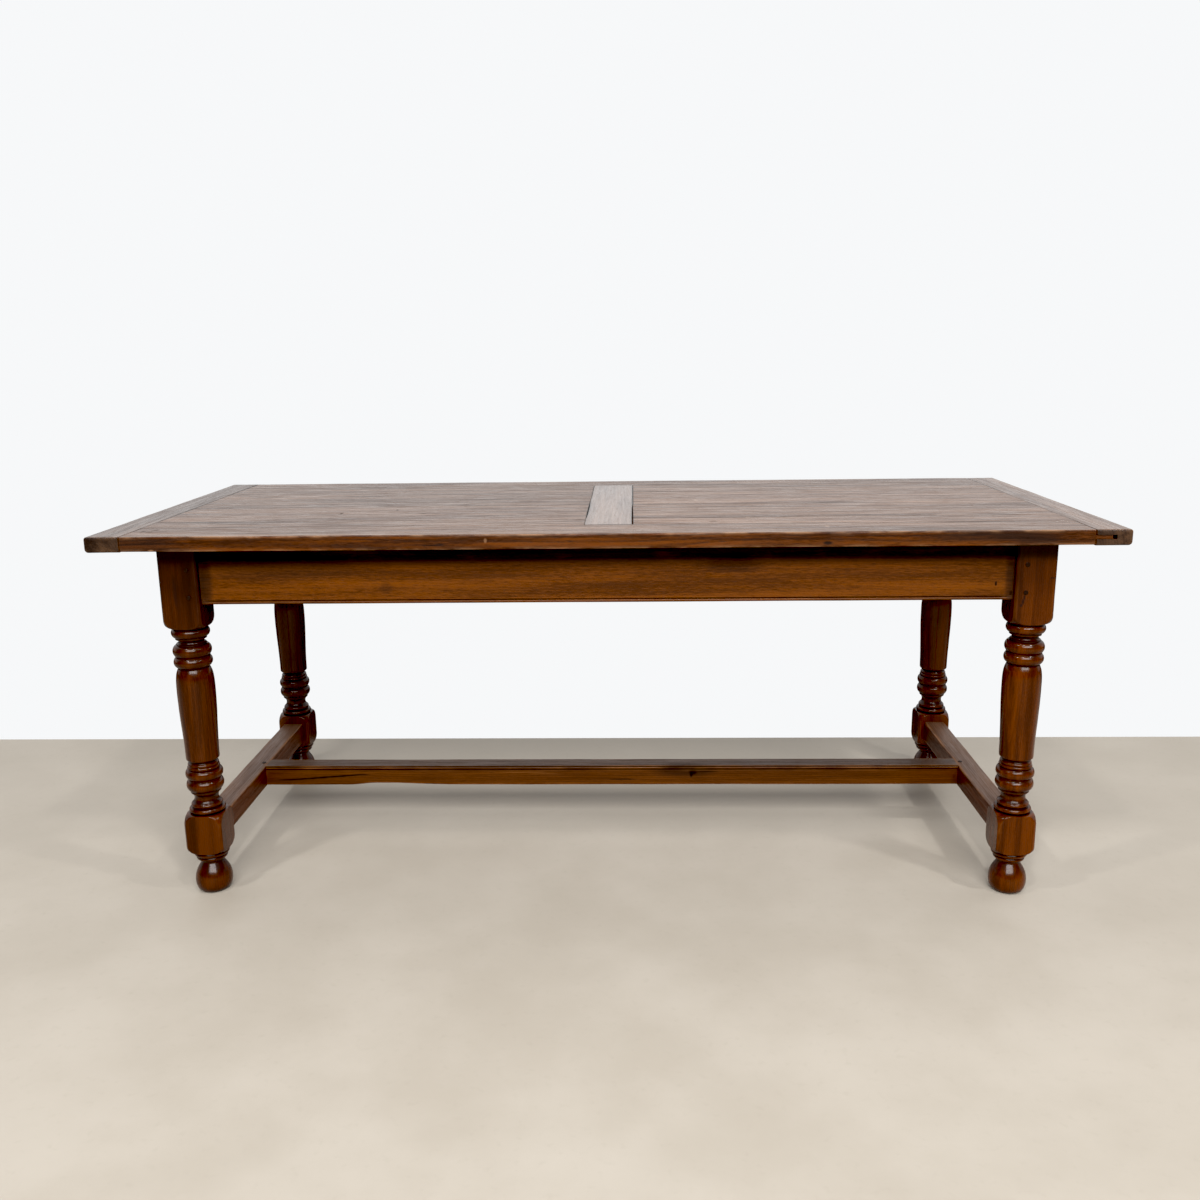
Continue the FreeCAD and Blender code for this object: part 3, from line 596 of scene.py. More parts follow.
def beam(axis, start, finish, section, ends=0.8 * MM, spacing=20 * MM, wave=0.3 * MM, seed=0):
    """Rings of points along X or Y, and how close each point is to an arris.

    section(place) gives a loop, its outward normals and its closeness to an arris. The surface sinks by up
    to wave in shallow dents.
    """
    order = [0, 1, 2] if axis == ALONG_X else [1, 0, 2]
    lump = np.array(LUMP)[order]
    rings = []
    edges = []
    for place in stations(start, finish, ends, spacing):
        loop, normals, close = section(place)
        depth = min(place - start, finish - place)
        inset = 0.0
        if depth < ends:
            inset = ends - sqrt(max(0.0, ends ** 2 - (ends - depth) ** 2))
        half = np.ptp(loop, axis=0) / 2
        middle = loop.min(axis=0) + half
        loop = middle + (loop - middle) * (1 - inset / half)
        spread = np.full(len(loop), place)
        ring = np.column_stack([spread, loop])[:, order]
        away = np.column_stack([0 * spread, normals])[:, order]
        rings.append(ring - away * (wave * uneven(ring, lump, seed))[:, None])
        edges.append(np.maximum(close, END_WEAR * max(0.0, 1 - depth / END_REACH)))
    rings = np.array(rings)
    edges = np.array(edges)
    if axis == ALONG_Y:
        return rings[:, ::-1], edges[:, ::-1]
    return rings, edges


def face_box(name):
    """Limits of the flat upper face of a CAD node, without its tongues."""
    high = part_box(name)[1]
    tops = [vertex.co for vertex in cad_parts[name].data.vertices if vertex.co.z > high.z - 0.1 * MM]
    return min(v.x for v in tops), min(v.y for v in tops), max(v.x for v in tops), max(v.y for v in tops)


# The top

SEAM_CLOSE = 0.1 * MM  # the pieces close up a little of the gap between the solids
SEAM_ROUND = 0.7 * MM
SEAM_REACH = 4 * MM  # a joint's dirt and wear stay this near to it
SEAM_WEAR = 0.3
DIRT_LUMP = (0.16, 0.16, 1)
DIRT_SEED = 5
BOARD_WEAR = 0.4
BOARD_TONES = {"left": (0.98, 1.12, 0.92, 1.05), "right": (1.3, 1.18, 1.3, 1.12)}
BOARD_SHIFT = (0.31, 0.017, 0.011)  # each board is cut from another place in the log
BOARD_HEART = 0.05  # depth of the log's heart below the top


def seam_dirt(rings, edge):
    """Dirt where a top piece turns down into a seam, more here and less there."""
    patches = uneven(rings, DIRT_LUMP, DIRT_SEED)
    return np.clip(edge * 2.2 - 0.2, 0, 1) * np.clip(3.4 * patches - 1.0, 0, 1)


def make_board(place, tone, number):
    name = "top_board_" + place
    x0, y0, x1, y1 = face_box(name)
    low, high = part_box(name)
    made = rounded((y0 - SEAM_CLOSE, low.z), (y1 + SEAM_CLOSE, high.z), (SEAM_ROUND,) * 4)
    rings, edge = beam(ALONG_X, x0 - SEAM_CLOSE, x1 + SEAM_CLOSE, always(made), ends=SEAM_ROUND,
                       wave=0.35 * MM, seed=number)
    on, aside, down = (step * number for step in BOARD_SHIFT)
    shift = (on, aside - (y0 + y1) / 2, BOARD_HEART + down - TOP_HIGH)
    piece("board_" + place, rings, name, top_long, tone, shift, BOARD_WEAR * edge,
          seam_dirt(rings, edge))


RAIL_TONE = 1.08
RAIL_WORN = (1.6 * MM, 4.2 * MM)  # radius of the worn upper arris, from place to place
RAIL_UNDER = (1.4 * MM, 3 * MM)  # the same below
INNER_ROUND = 0.5 * MM
RAIL_SEED, RAIL_EDGE_SEED, TONGUE_SEED = 20, 40, 22
TONGUE_THICK = 8.4 * MM
TONGUE_LENGTH = 31 * MM
TONGUE_ROOT = 2 * MM  # it starts this far inside the rail
TONGUE_INSET = 0.8 * MM
TONGUE_ROUND = 0.6 * MM
TONGUE_TOP = TOP_HIGH - 10.3 * MM


def rail_section(outer, inner, low, high, seed):
    """A rail's section along X: the outer edge is worn unevenly."""

    def section(place):
        worn = wander(RAIL_WORN, (place, outer, high), (0.1, 1, 1), seed)
        under = wander(RAIL_UNDER, (place, outer, high), (0.07, 1, 1), seed + 3)
        if outer < inner:
            return rounded((outer, low), (inner + SEAM_CLOSE, high), (under, INNER_ROUND, SEAM_ROUND, worn))
        return rounded((inner - SEAM_CLOSE, low), (outer, high), (INNER_ROUND, under, worn, SEAM_ROUND))

    return section


def make_rail(side, outer, number):
    """A long rail of the top, with the tongue that shows in the right end board's open groove."""
    name = "top_rail_" + side
    x0, y0, x1, y1 = face_box(name)
    low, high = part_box(name)
    inner = y1 if side == "front" else y0
    section = rail_section(outer, inner, low.z, high.z, RAIL_EDGE_SEED + number)
    rings, edge = beam(ALONG_X, x0 - SEAM_CLOSE, x1 + SEAM_CLOSE, section, ends=1.2 * MM, spacing=9 * MM,
                       wave=0.5 * MM, seed=RAIL_SEED + number)
    inside = np.abs(rings[:, :, 1] - inner) < SEAM_REACH
    ends = np.minimum(rings[:, :, 0] - x0, x1 - rings[:, :, 0]) < END_REACH
    jointed = inside | ends
    made = rounded((min(outer, inner) + TONGUE_INSET, TONGUE_TOP - TONGUE_THICK),
                   (max(outer, inner) - TONGUE_INSET, TONGUE_TOP), (TONGUE_ROUND,) * 4)
    tongue, tongue_edge = beam(ALONG_X, x1 - TONGUE_ROOT, x1 + TONGUE_LENGTH, always(made),
                               seed=TONGUE_SEED + number)
    shift = (0.4 * number, 0.02 - outer, 0.03 - TOP_HIGH)
    piece("rail_" + side, rings, name, rail_wood, RAIL_TONE, shift,
          np.where(jointed, SEAM_WEAR, 1) * edge, np.where(jointed, seam_dirt(rings, edge), 0),
          extra=[(tongue, tongue_edge, 0.0)], upper=top_long)


CROSS_SEED = 31
GAP_LEFT = (-0.2, -0.03, 0.9 * MM)  # the shrunk joint stands open between these Y, this wide
GAP_RIGHT = (-0.32, -0.05, 1.7 * MM)
GAP_START = 20 * MM  # lengths over which it opens and closes
GAP_FINISH = 60 * MM


def opening(place, start, finish, width):
    """How far a shrunk joint stands open at a place."""
    into = np.clip((place - start) / GAP_START + 0.5, 0, 1)
    out = np.clip((finish - place) / GAP_FINISH + 0.5, 0, 1)
    return width * float(into * out)


def make_cross_rail():
    name = "top_cross_rail"
    x0, y0, x1, y1 = face_box(name)
    low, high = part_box(name)

    def section(place):
        left = x0 - SEAM_CLOSE + opening(place, *GAP_LEFT)
        right = x1 + SEAM_CLOSE - opening(place, *GAP_RIGHT)
        return rounded((left, low.z), (right, high.z), (SEAM_ROUND,) * 4)

    rings, edge = beam(ALONG_Y, y0 - SEAM_CLOSE, y1 + SEAM_CLOSE, section, ends=SEAM_ROUND, seed=CROSS_SEED)
    shift = (0.03, 0.2, 0.06 - TOP_HIGH)
    piece("cross_rail", rings, name, top_cross, 1.0, shift, BOARD_WEAR * edge,
          seam_dirt(rings, edge))


END_WORN = 5.5 * MM  # radius of the worn outer arris above, then below
END_UNDER = 7 * MM
END_SEED = 50
END_CUT = 0.5 * MM  # the cut end's own tone reaches this far round
END_TONES = {"left": (0.5, 0.65), "right": (0.8, 0.95)}  # at the cut ends and elsewhere
SLOT_LOW = TONGUE_TOP - TONGUE_THICK - 0.3 * MM
SLOT_HIGH = TONGUE_TOP + 1.2 * MM
SLOT_DEPTH = 38 * MM
SLOT_ROUND = 0.4 * MM


def slotted(loop, normals, close):
    """Cut the open groove into the upright side that a section ends with, where it runs down."""
    inner = loop[:, 0].min()
    side = loop[:, 0] < inner + 0.05 * MM
    cut = side & (loop[:, 1] > SLOT_LOW - SLOT_ROUND) & (loop[:, 1] < SLOT_HIGH + SLOT_ROUND)
    still = (0, 0)
    rows = [((inner, SLOT_HIGH + 0.3 * MM), still, 0.6), ((inner + SLOT_ROUND, SLOT_HIGH), still, 0.2),
            ((inner + SLOT_DEPTH, SLOT_HIGH), still, 0), ((inner + SLOT_DEPTH, SLOT_LOW), still, 0),
            ((inner + SLOT_ROUND, SLOT_LOW), still, 0.2), ((inner, SLOT_LOW - 0.3 * MM), still, 0.6)]
    return spliced((loop, normals, close), ~cut, int(np.argmax(cut)), rows)


def make_end_board(side, number):
    """An end board; the right one's groove runs out at its ends."""
    name = "top_end_" + side
    low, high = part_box(name)
    x0, y0, x1, y1 = face_box(name)
    if side == "left":
        joint = x1
        radii = (END_UNDER, SEAM_ROUND, SEAM_ROUND, END_WORN)
        made = rounded((low.x, low.z), (x1 + SEAM_CLOSE, high.z), radii)
    else:
        joint = x0
        radii = (SEAM_ROUND, END_UNDER, END_WORN, SEAM_ROUND)
        made = slotted(*rounded((x0 - SEAM_CLOSE, low.z), (high.x, high.z), radii))
    rings, edge = beam(ALONG_Y, low.y, high.y, always(made), ends=3 * MM, spacing=9 * MM, wave=0.5 * MM,
                       seed=END_SEED + number)
    inside = np.abs(rings[:, :, 0] - joint) < SEAM_REACH
    cut_end = np.minimum(rings[:, :, 1] - low.y, high.y - rings[:, :, 1]) < END_CUT
    tone = np.where(cut_end, *END_TONES[side])
    shift = (0.05 - joint, 0.3 * number, 0.04 - TOP_HIGH)
    piece("end_board_" + side, rings, name, end_grain, tone, shift,
          np.where(inside, SEAM_WEAR, 1) * edge, np.where(inside, seam_dirt(rings, edge), 0),
          upper=end_top, sides=end_side)


for first, (side, tones) in enumerate(BOARD_TONES.items()):
    for count, tone in enumerate(tones):
        make_board(f"{side}_{count + 1}", tone, first * len(tones) + count)
for number, (side, outer) in enumerate((("front", FRONT_EDGE), ("back", BACK_EDGE))):
    make_rail(side, outer, number)
make_cross_rail()
for number, side in enumerate(("left", "right")):
    make_end_board(side, number)

# Aprons

UNDER_TOP_SHADE_FULL = 29 * MM  # painted shade below the top: full so far down, then fading
UNDER_TOP_SHADE_FADE = 22 * MM
UNDER_TOP_SHADE_SHARE = 0.96
APRON_ROUND = 1 * MM  # lower arrises, then upper ones
APRON_HEAD_ROUND = 0.6 * MM
APRON_SPACING = 10 * MM
APRON_INSET = 2 * MM  # the ends run this far into the legs
BESIDE_REACH = 18 * MM  # darker beside each leg
BESIDE_SHARE = 0.7
BEAD_RADIUS = 3 * MM
BEAD_QUIRK = 1.8 * MM
BEAD_STOP = 14 * MM
BEAD_RUN = 2.5 * MM
BEAD_STEPS = 10
BEAD_MARGIN = 2 * MM
QUIRK_SLANT = 0.2 * MM


def bead_point(radius, step):
    """A point on a half-round bead, as its depth and its height."""
    angle = pi / 2 + step / BEAD_STEPS * pi
    return radius * (1 + cos(angle)), radius * (1 + sin(angle))


def painted_shade_under_top(heights, top):
    """Painted shade just under the top, fading downwards."""
    return UNDER_TOP_SHADE_SHARE * (1 - smooth(np.clip((top - heights - UNDER_TOP_SHADE_FULL) / UNDER_TOP_SHADE_FADE, 0, 1)))


def apron_loop(thick, tall):
    """An apron's section as depth and height: plain outline, beaded outline, normals, wear and dirt."""
    radii = (APRON_ROUND, APRON_ROUND, APRON_HEAD_ROUND, APRON_HEAD_ROUND)
    plain, normals, close = rounded((0, 0), (thick, tall), radii, APRON_SPACING)
    crown = 2 * BEAD_RADIUS
    top = crown + BEAD_QUIRK
    face = (plain[:, 0] < ON_FACE) & (plain[:, 1] < top + BEAD_MARGIN)
    corner = (plain[:, 0] < APRON_ROUND + ON_FACE) & (plain[:, 1] < APRON_ROUND + ON_FACE)
    keep = ~(face | corner)
    out = (-1, 0)
    rows = [((0, top + BEAD_MARGIN), (0, top + BEAD_MARGIN), out, 0.1, 0.1),
            ((0, top + 0.6 * MM), (0, top + 0.6 * MM), out, 0.5, 0.1),
            ((0, top), (0.5 * MM, top), out, 0.5, 0.4),
            ((0, top - QUIRK_SLANT), (BEAD_RADIUS, top - QUIRK_SLANT), out, 0, 1),
            ((0, crown), (BEAD_RADIUS, crown), out, 0, 1)]
    for step in range(1, BEAD_STEPS - 1):
        depth, height = bead_point(BEAD_RADIUS, step)
        rows.append(((0, height), (depth, height), out, 0.25, 0.25))
    rows.append(((0.6 * MM, 0.1 * MM), bead_point(BEAD_RADIUS, BEAD_STEPS - 1), (-0.7, -0.7), 0.6, 0))
    rows.append(((BEAD_RADIUS, 0), (BEAD_RADIUS, 0), (0, -1), 0.2, 0))
    place = len(plain) if keep[-1] and not keep[0] else int(np.argmin(keep))
    columns = (plain, plain, normals, close, np.zeros(len(plain)))
    return spliced(columns, keep, int(np.sum(keep[:place])), rows)


def make_apron(side, axis, face, inward, material, tone, seed):
    """An apron whose bead stops short of the legs."""
    name = "apron_" + side
    low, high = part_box(name)
    legs = [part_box("leg_" + corner) for corner in CORNERS]
    clear = min(abs(box_corner[axis]) for box in legs for box_corner in box)
    thick = high[1 - axis] - low[1 - axis]
    plain, beaded, normals, close, dirt = apron_loop(thick, high.z - low.z)

    def bead_share(place):
        return float(np.clip((clear - BEAD_STOP - abs(place)) / BEAD_RUN + 0.5, 0, 1))

    def section(place):
        loop = plain + bead_share(place) * (beaded - plain)
        made = np.stack([face + inward * loop[:, 0], low.z + loop[:, 1]], axis=1)
        out = np.stack([inward * normals[:, 0], normals[:, 1]], axis=1)
        if inward < 0:
            return made[::-1], out[::-1], close[::-1]
        return made, out, close

    reach = clear + APRON_INSET
    rings, edge = beam(axis, -reach, reach, section, ends=0.4 * MM, spacing=FINE_SPACING, seed=seed)
    turned = dirt[::-1] if (inward < 0) != (axis == ALONG_Y) else dirt
    groove = np.array([turned * bead_share(ring[0][axis]) for ring in rings])
    beside = BESIDE_SHARE * np.clip(1 - (clear - np.abs(rings[:, :, axis])) / BESIDE_REACH, 0, 1)
    # painted shade below the top joins the dirt in the groove attribute
    groove = np.maximum(groove, np.maximum(beside, painted_shade_under_top(rings[:, :, 2], high.z)))
    shift = [0.05, 0.05, 0.07 * seed]
    shift[axis] = 0.2 * seed
    piece(name + "_board", rings, name, material, tone, shift, 0.8 * edge, groove)


make_apron("front", ALONG_X, APRON_FACE, 1, apron_long, 1.0, 61)
make_apron("back", ALONG_X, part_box("apron_back")[1].y, -1, apron_long, 0.95, 63)
make_apron("left", ALONG_Y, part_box("apron_left")[0].x, 1, apron_cross, 0.95, 65)
make_apron("right", ALONG_Y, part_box("apron_right")[1].x, -1, apron_cross, 0.95, 67)

# Stretchers

STRETCHER_ROUND = 2 * MM
STRETCHER_INSET = 1 * MM  # the ends run this far into what holds them
STRETCHER_WORN = (2 * MM, 5.2 * MM)
SIDE_SEED, SIDE_RIGHT_SEED, SIDE_LEFT_SEED = 80, 70, 75


def make_side_stretcher(side, number):
    """A side stretcher, worn along its upper arrises by feet."""
    name = "stretcher_" + side
    low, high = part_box(name)
    reach = STRETCHER_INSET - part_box("leg_front_left")[1].y

    def section(place):
        at = (low.x, place, high.z)
        right = wander(STRETCHER_WORN, at, (1, 0.08, 1), SIDE_RIGHT_SEED + number)
        left = wander(STRETCHER_WORN, at, (1, 0.08, 1), SIDE_LEFT_SEED + number)
        radii = (STRETCHER_ROUND, STRETCHER_ROUND, right, left)
        return rounded((low.x, low.z), (high.x, high.z), radii, FINE_SPACING)

    rings, edge = beam(ALONG_Y, -reach, reach, section, ends=0.4 * MM, spacing=FINE_SPACING,
                       wave=0.7 * MM, seed=SIDE_SEED + number)
    shift = (0.05 + 0.9 * number, 0.3 * number, 0.02)
    piece("side_" + name, rings, name, stretcher_cross, 1.0, shift, edge)


MOULD_RADIUS = 2.6 * MM
MOULD_QUIRK = 1.5 * MM
MOULD_FILLET = 2 * MM
MOULD_WEAR = 0.6
RELIEF = 4.5 * MM
RELIEF_START = 195 * MM
RELIEF_RISE = 60 * MM
RELIEF_FLAT = 50 * MM
RELIEF_FALL = 125 * MM
RELIEF_LIFT = 28 * MM  # the section is lifted less and less up to this height
CENTRE_HEAD_ROUND = 3 * MM  # upper back arris, and the upper front one above the bead
CENTRE_FILLET_ROUND = 0.8 * MM
CENTRE_SEED = 90


def centre_loop(wide, tall):
    """The centre stretcher's section without its hollow: points, normals, wear and dirt."""
    radii = (STRETCHER_ROUND, STRETCHER_ROUND, CENTRE_HEAD_ROUND, CENTRE_FILLET_ROUND)
    loop, normals, close = rounded((0, 0), (wide, tall), radii, FINE_SPACING)
    top = tall - MOULD_FILLET
    bottom = top - 2 * (MOULD_QUIRK + MOULD_RADIUS)
    cut = (loop[:, 0] < ON_FACE) & (loop[:, 1] > bottom - MM) & (loop[:, 1] < top + 0.5 * MM)
    out = (-1, 0)
    rows = [((0, top), out, 0.4, 0.3), ((MOULD_RADIUS, top - QUIRK_SLANT), out, 0, 1)]
    for step in range(BEAD_STEPS + 1):
        depth, height = bead_point(MOULD_RADIUS, step)
        wear = MOULD_WEAR if 2 < step < BEAD_STEPS - 2 else 0
        dirt = 0 if 1 < step < BEAD_STEPS - 1 else 1
        rows.append(((depth, bottom + MOULD_QUIRK + height), out, wear, dirt))
    rows += [((MOULD_RADIUS, bottom + QUIRK_SLANT), out, 0, 1), ((0, bottom), out, 0.4, 0.3)]
    columns = (loop, normals, close, np.zeros(len(loop)))
    return spliced(columns, ~cut, int(np.argmax(cut)), rows)


def make_centre_stretcher():
    """The long stretcher, with a shallow hollow in its underside."""
    name = "stretcher_centre"
    low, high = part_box(name)
    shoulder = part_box("stretcher_left")[1].x
    points, normals, close, dirt = centre_loop(high.y - low.y, high.z - low.z)
    hollow_start = shoulder + RELIEF_START
    hollow_end = hollow_start + RELIEF_RISE + RELIEF_FLAT + RELIEF_FALL

    def section(place):
        rise = smooth(np.clip((place - hollow_start) / RELIEF_RISE, 0, 1))
        fall = np.clip((hollow_end - place) / RELIEF_FALL, 0, 1)
        share = np.clip(1 - points[:, 1] / RELIEF_LIFT, 0, 1)
        lifted = points[:, 1] + RELIEF * min(rise, fall) * share
        return np.stack([low.y + points[:, 0], low.z + lifted], axis=1), normals, close

    start = shoulder - STRETCHER_INSET
    rings, edge = beam(ALONG_X, start, -start, section, ends=0.4 * MM, spacing=FINE_SPACING,
                       wave=0.8 * MM, seed=CENTRE_SEED)
    groove = np.tile(dirt, (len(rings), 1))
    shift = (0.6, 0.03, -0.05)
    piece("centre_stretcher", rings, name, stretcher_long, 1.0, shift, edge, groove)


for number, side in enumerate(("left", "right")):
    make_side_stretcher(side, number)
make_centre_stretcher()

# Legs: the CAD outline is read along the free diagonal, then softened and worn

OCTANT = (0, 5, 10, 15, 20, 25, 30, 34, 37, 39, 40.4, 41.2, 41.8, 42.4, 43.2, 44.2)
LEG_ANGLES = np.radians(sorted({turn * 90 + part for turn in range(4) for part in OCTANT}
                               | {turn * 90 - part for turn in range(1, 5) for part in OCTANT if part}
                               | {turn * 90 + 45 for turn in range(4)}))
READ_STEP = 0.5 * MM
READ_FROM = 0.09
READ_LOWEST = 0.1 * MM
FLAT_ENOUGH = 0.05 * MM
LONGEST_STEP = 5 * MM
ARRIS = 0.9 * MM
ARRIS_FADE = 1.2 * MM
LEAST_LEAN = 0.05
HOLLOW_SPAN = 4.5 * MM  # a hollow lies beside a crest this near, and is full about this deep
HOLLOW_START = 0.6 * MM
LEG_DENTS = ((0.35 * MM, (0.035, 0.035, 0.05)), (0.25 * MM, (0.012, 0.012, 0.02)))
# painted shade on the upper legs: how far down, streak size and seed
SHADE_STREAK_DEPTH = 260 * MM
SHADE_STREAK_LUMP = (0.012, 0.012, 0.11)
SHADE_STREAK_SEED = 20
LEG_FINISHES = {  # tone, and painted shade below the top broken into dark streaks
    "front_left": (0.72, 0.9),
    "front_right": (1.05, 0.5),
    "back_left": (0.8, 0.5),
    "back_right": (0.9, 0.4),
}


def leg_outline(name, axis, out):
    """Radius of the turned blank at even heights, read from the CAD leg along one diagonal."""
    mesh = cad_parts[name].data
    corners = [vertex.co for vertex in mesh.vertices]
    tree = BVHTree.FromPolygons(corners, [tuple(face.vertices) for face in mesh.polygons])
    low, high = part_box(name)
    heights = np.arange(low.z + READ_LOWEST, high.z, READ_STEP)
    radii = []
    for height in heights:
        start = Vector((axis[0] + out[0] * READ_FROM, axis[1] + out[1] * READ_FROM, height))
        hit = tree.ray_cast(start, Vector((-out[0], -out[1], 0)))[3]
        radii.append(READ_FROM - hit if hit is not None else radii[-1])
    return heights, np.array(radii)


def kept_levels(heights, radii):
    """As few levels as follow the outline closely."""
    kept = [0]
    for index in range(2, len(heights)):
        first = kept[-1]
        span = np.arange(first, index + 1)
        line = np.interp(heights[span], heights[[first, index]], radii[[first, index]])
        if np.abs(line - radii[span]).max() > FLAT_ENOUGH or heights[index] - heights[first] > LONGEST_STEP:
            kept.append(index - 1)
    return kept + [len(heights) - 1]


def hollows(radii):
    """Where dirt gathers beside the crests of an outline, from 0 to 1."""
    span = round(HOLLOW_SPAN / READ_STEP)
    crest = np.array([radii[max(0, at - span):at + span + 1].max() for at in range(len(radii))])
    return np.clip((crest - radii - HOLLOW_START) / HOLLOW_SPAN, 0, 1)


def blank_radii(half, reach):
    """Radius of the chamfered square blank at each angle, with sharp arrises and with soft ones."""
    sharp = np.full(len(LEG_ANGLES), np.inf)
    sums = 0
    for face in range(8):
        lean = np.cos(LEG_ANGLES - face * pi / 4)
        away = (half if face % 2 == 0 else reach) / np.maximum(lean, LEAST_LEAN)
        sharp = np.minimum(sharp, away)
        sums = sums + np.exp(-(away - half) / (0.5 * ARRIS))
    return sharp, half - 0.5 * ARRIS * np.log(sums)


def around(axis, radius, levels):
    """Rings of points round an upright axis."""
    heights = np.broadcast_to(levels[:, None], radius.shape)
    across = axis[0] + radius * np.cos(LEG_ANGLES)
    back = axis[1] + radius * np.sin(LEG_ANGLES)
    return np.stack([across, back, heights], axis=2)


def make_leg(corner, tone, shade_and_streaks, seed):
    """A turned leg: at each level the smaller of the turning and the square blank."""
    name = "leg_" + corner
    low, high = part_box(name)
    axis = ((low.x + high.x) / 2, (low.y + high.y) / 2)
    half = (high.x - low.x) / 2
    slope = sqrt(0.5)
    out = (copysign(slope, axis[0]), copysign(slope, axis[1]))
    heights, radii = leg_outline(name, axis, out)
    kept = kept_levels(heights, radii)
    levels = heights[kept]
    levels[0] = low.z
    levels[-1] = high.z
    turned = radii[kept][:, None]

    sharp, soft = blank_radii(half, radii.max())
    gap = np.abs(turned - soft)
    least = np.minimum(turned, soft)
    eased = 0.25 * ARRIS * np.exp(-gap / (0.5 * ARRIS))
    radius = np.where(gap < 3 * ARRIS, least - eased, least)
    arris = np.exp(-gap / ARRIS_FADE) + np.clip((sharp - soft) / (0.6 * ARRIS), 0, 1) * (turned > sharp - MM)

    even = around(axis, radius, levels)
    for step, (depth, lump) in enumerate(LEG_DENTS):
        radius = radius - depth * uneven(even, lump, seed + step)
    rings = around(axis, radius, levels)
    groove = hollows(radii)[kept][:, None] * (turned <= half)
    # painted shade below the top joins the dirt in the groove attribute
    groove = np.maximum(groove, painted_shade_under_top(rings[:, :, 2], high.z + 0.1 * UNDER_TOP_SHADE_FULL))
    # painted shade on the upper leg, fading downwards in dark streaks
    shade_streaked = shade_and_streaks * np.clip(1 - (high.z - rings[:, :, 2]) / SHADE_STREAK_DEPTH, 0, 1)
    groove = np.maximum(groove, shade_streaked * (0.55 + 0.9 * uneven(rings, SHADE_STREAK_LUMP, seed + SHADE_STREAK_SEED)))
    shift = (0.04 - axis[0] + 0.01 * seed, 0.05 - axis[1], 0.3 * seed)
    piece("leg_turned_" + corner, rings, name, leg_wood, tone, shift, np.clip(arris, 0, 1),
          np.clip(groove, 0, 1))


for seed, (corner, (tone, shade_and_streaks)) in enumerate(LEG_FINISHES.items(), 1):
    make_leg(corner, tone, shade_and_streaks, seed)


# Small CAD pieces keep their shape

def dress(name, material):
    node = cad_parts[name]
    node.data.materials.clear()
    node.data.materials.append(material)


for corner in CORNERS:
    dress("apron_pegs_" + corner, peg_wood)
dress("stretcher_pegs", peg_wood)
dress("centre_stretcher_pegs", peg_wood)
dress("top_buttons", button_wood)
dress("button_screws", screw_steel)

# Floor, light and camera

FLOOR_SIZE = 7.0
FLOOR_BACK = 0.585
FLOOR_DARK = (0.4, 0.355, 0.295)
FLOOR_LIGHT = (0.445, 0.4, 0.34)
FLOOR_SPECK = (0.335, 0.29, 0.235)
FLOOR_BUMP = 1 * MM
CLOUD = (3.0, 6.0, 0.6)
SPECK = (60.0, 3.0, 0.5)
CLOUD_LIMITS = (0.3, 0.7)
SPECK_LIMITS = (0.55, 0.8)
SPECK_SHARE = 0.2
WORLD_BACK = (0.93, 0.94, 0.95)
WORLD_FRONT = (0.035, 0.035, 0.035)
BACK_LIMITS = (-0.25, 0.25)  # Y and Z of a direction where the studio turns bright
ABOVE_LIMITS = (-0.02, 0.06)
LAMP_SIZE = (0.16, 0.16)
LIGHTS = {  # place, target, size and watts
    "front_soft": ((0.64, -6.96, 5.26), (0, 0, 0.45), (6.7, 2.7), 850),
    "lamp_left": ((-1.5, -1.5, 2.9), (-0.5, 0, 0.4), LAMP_SIZE, 24),
    "lamp_middle": ((0.2, -1.7, 2.9), (0.1, 0, 0.4), LAMP_SIZE, 19),
    "lamp_right": ((1.9, -1.4, 2.9), (0.6, 0, 0.4), LAMP_SIZE, 25),
}
BLACK_LEVEL = (0.012, 0.0135, 0.0138)  # the picture sinks its deepest shades to a warm black

# The camera that took the picture, found from the table's corners; angles in degrees
CAMERA_PLACE = (0.0585, -2.4265, 1.0989)
CAMERA_YAW = -1.7508
CAMERA_PITCH = 12.9434
CAMERA_ROLL = 0.7414
FRAME_PIXELS = 1200
FOCAL_PIXELS = 1109.05
SENSOR_MM = 36


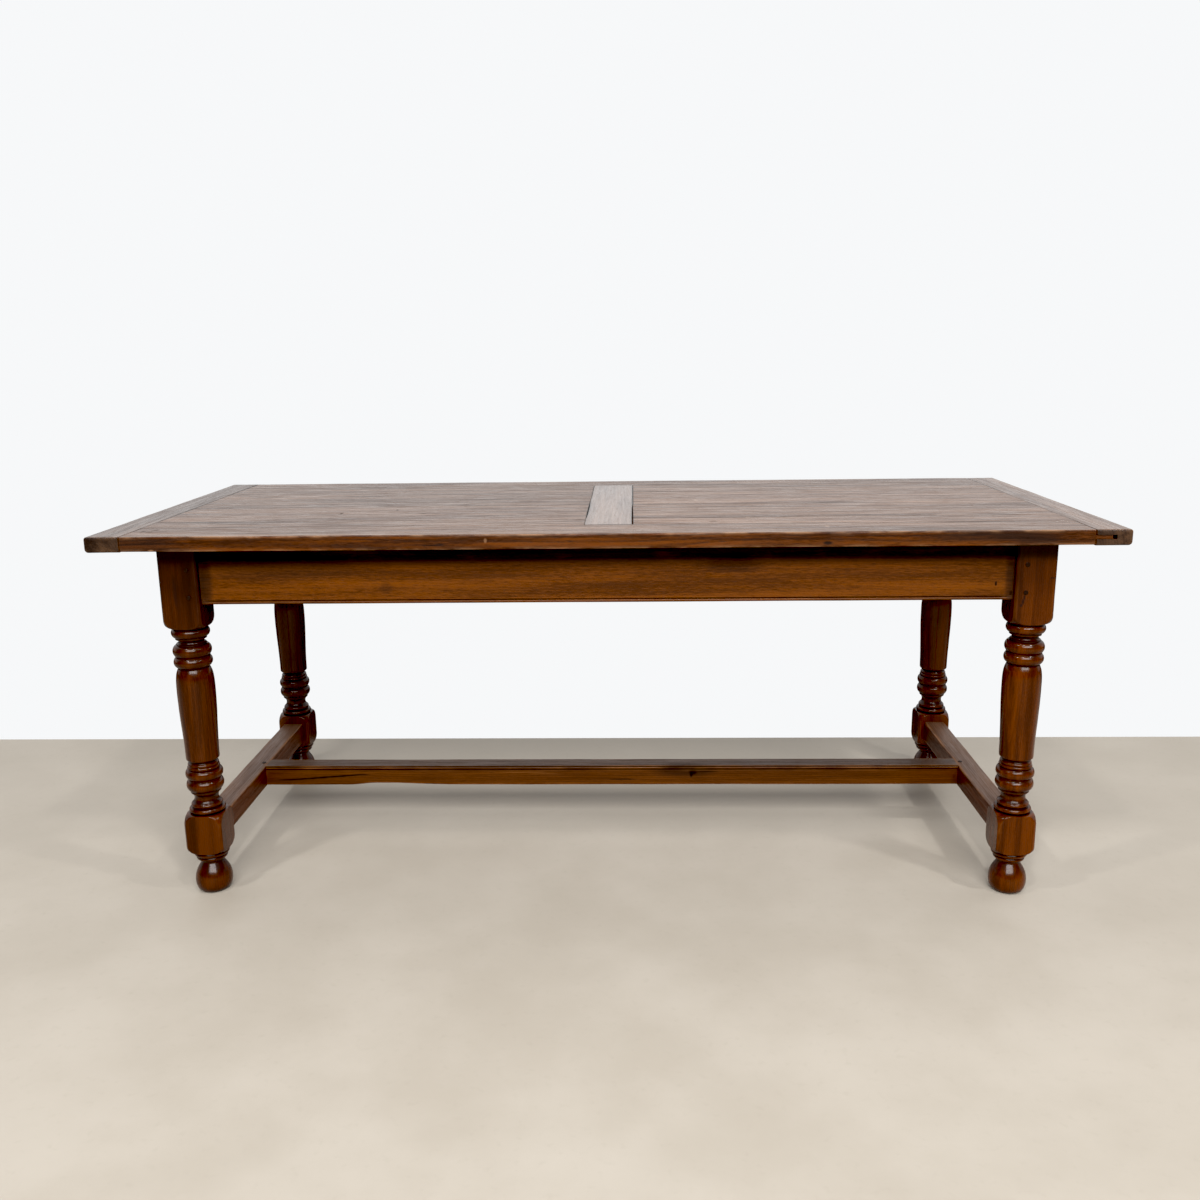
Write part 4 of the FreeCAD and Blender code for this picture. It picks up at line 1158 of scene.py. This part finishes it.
def make_floor():
    """A plain pale floor that ends behind the table."""
    corners = [(-FLOOR_SIZE, -FLOOR_SIZE, 0), (FLOOR_SIZE, -FLOOR_SIZE, 0),
               (FLOOR_SIZE, FLOOR_BACK, 0), (-FLOOR_SIZE, FLOOR_BACK, 0)]
    mesh = bpy.data.meshes.new("floor")
    mesh.from_pydata(corners, [], [(0, 1, 2, 3)])
    floor = bpy.data.objects.new("floor", mesh)
    SCENE.collection.objects.link(floor)
    make = Finish("pale_floor")
    cloud = make.ease(make.noise(make.where, *CLOUD), *CLOUD_LIMITS)
    speck = make.noise(make.where, *SPECK)
    colour = make.mix(cloud, FLOOR_DARK, FLOOR_LIGHT)
    colour = make.mix(make.ease(speck, *SPECK_LIMITS, 0.0, SPECK_SHARE), colour, FLOOR_SPECK)
    make.set(Base_Color=colour, Roughness=make.ease(cloud, 0.0, 1.0, 0.6, 0.75))
    make.bump(speck, 0.15, FLOOR_BUMP)
    mesh.materials.append(make.material)


def make_world():
    """A white studio behind the table and above it, dim on the side of the camera."""
    world = bpy.data.worlds.new("studio")
    world.use_nodes = True
    make = Nodes(world.node_tree)
    direction = make.read("ShaderNodeTexCoord", "Generated")
    behind = make.ease(make.coordinate(direction, "Y"), *BACK_LIMITS)
    above = make.ease(make.coordinate(direction, "Z"), *ABOVE_LIMITS)
    seen = make.read("ShaderNodeLightPath", "Is Camera Ray")
    bright = make.math("MAXIMUM", make.times(behind, above), seen)
    sky = world.node_tree.nodes["Background"]
    make.feed(sky.inputs["Color"], make.mix(bright, WORLD_FRONT, WORLD_BACK))
    SCENE.world = world


def make_light(name, place, target, size, power):
    light = bpy.data.lights.new(name, "AREA")
    light.shape = "RECTANGLE"
    light.size, light.size_y = size
    light.energy = power
    lamp = bpy.data.objects.new(name, light)
    lamp.location = place
    lamp.rotation_euler = (Vector(target) - Vector(place)).to_track_quat("-Z", "Y").to_euler()
    SCENE.collection.objects.link(lamp)


def make_camera():
    yaw, pitch, roll = (radians(angle) for angle in (CAMERA_YAW, CAMERA_PITCH, CAMERA_ROLL))
    forward = Vector((sin(yaw) * cos(pitch), cos(yaw) * cos(pitch), -sin(pitch)))
    level = Vector((cos(yaw), -sin(yaw), 0))
    sunk = forward.cross(level)
    right = cos(roll) * level + sin(roll) * sunk
    down = cos(roll) * sunk - sin(roll) * level
    lens = bpy.data.cameras.new("camera")
    lens.sensor_width = SENSOR_MM
    lens.lens = SENSOR_MM * FOCAL_PIXELS / FRAME_PIXELS
    camera = bpy.data.objects.new("camera", lens)
    turn = Matrix((right, -down, -forward)).transposed().to_4x4()
    camera.matrix_world = Matrix.Translation(CAMERA_PLACE) @ turn
    SCENE.collection.objects.link(camera)
    SCENE.camera = camera


make_floor()
make_world()
for name, light in LIGHTS.items():
    make_light(name, *light)
make_camera()
view = SCENE.view_settings
view.view_transform = "Standard"
view.use_curve_mapping = True
view.curve_mapping.black_level = BLACK_LEVEL
view.curve_mapping.update()
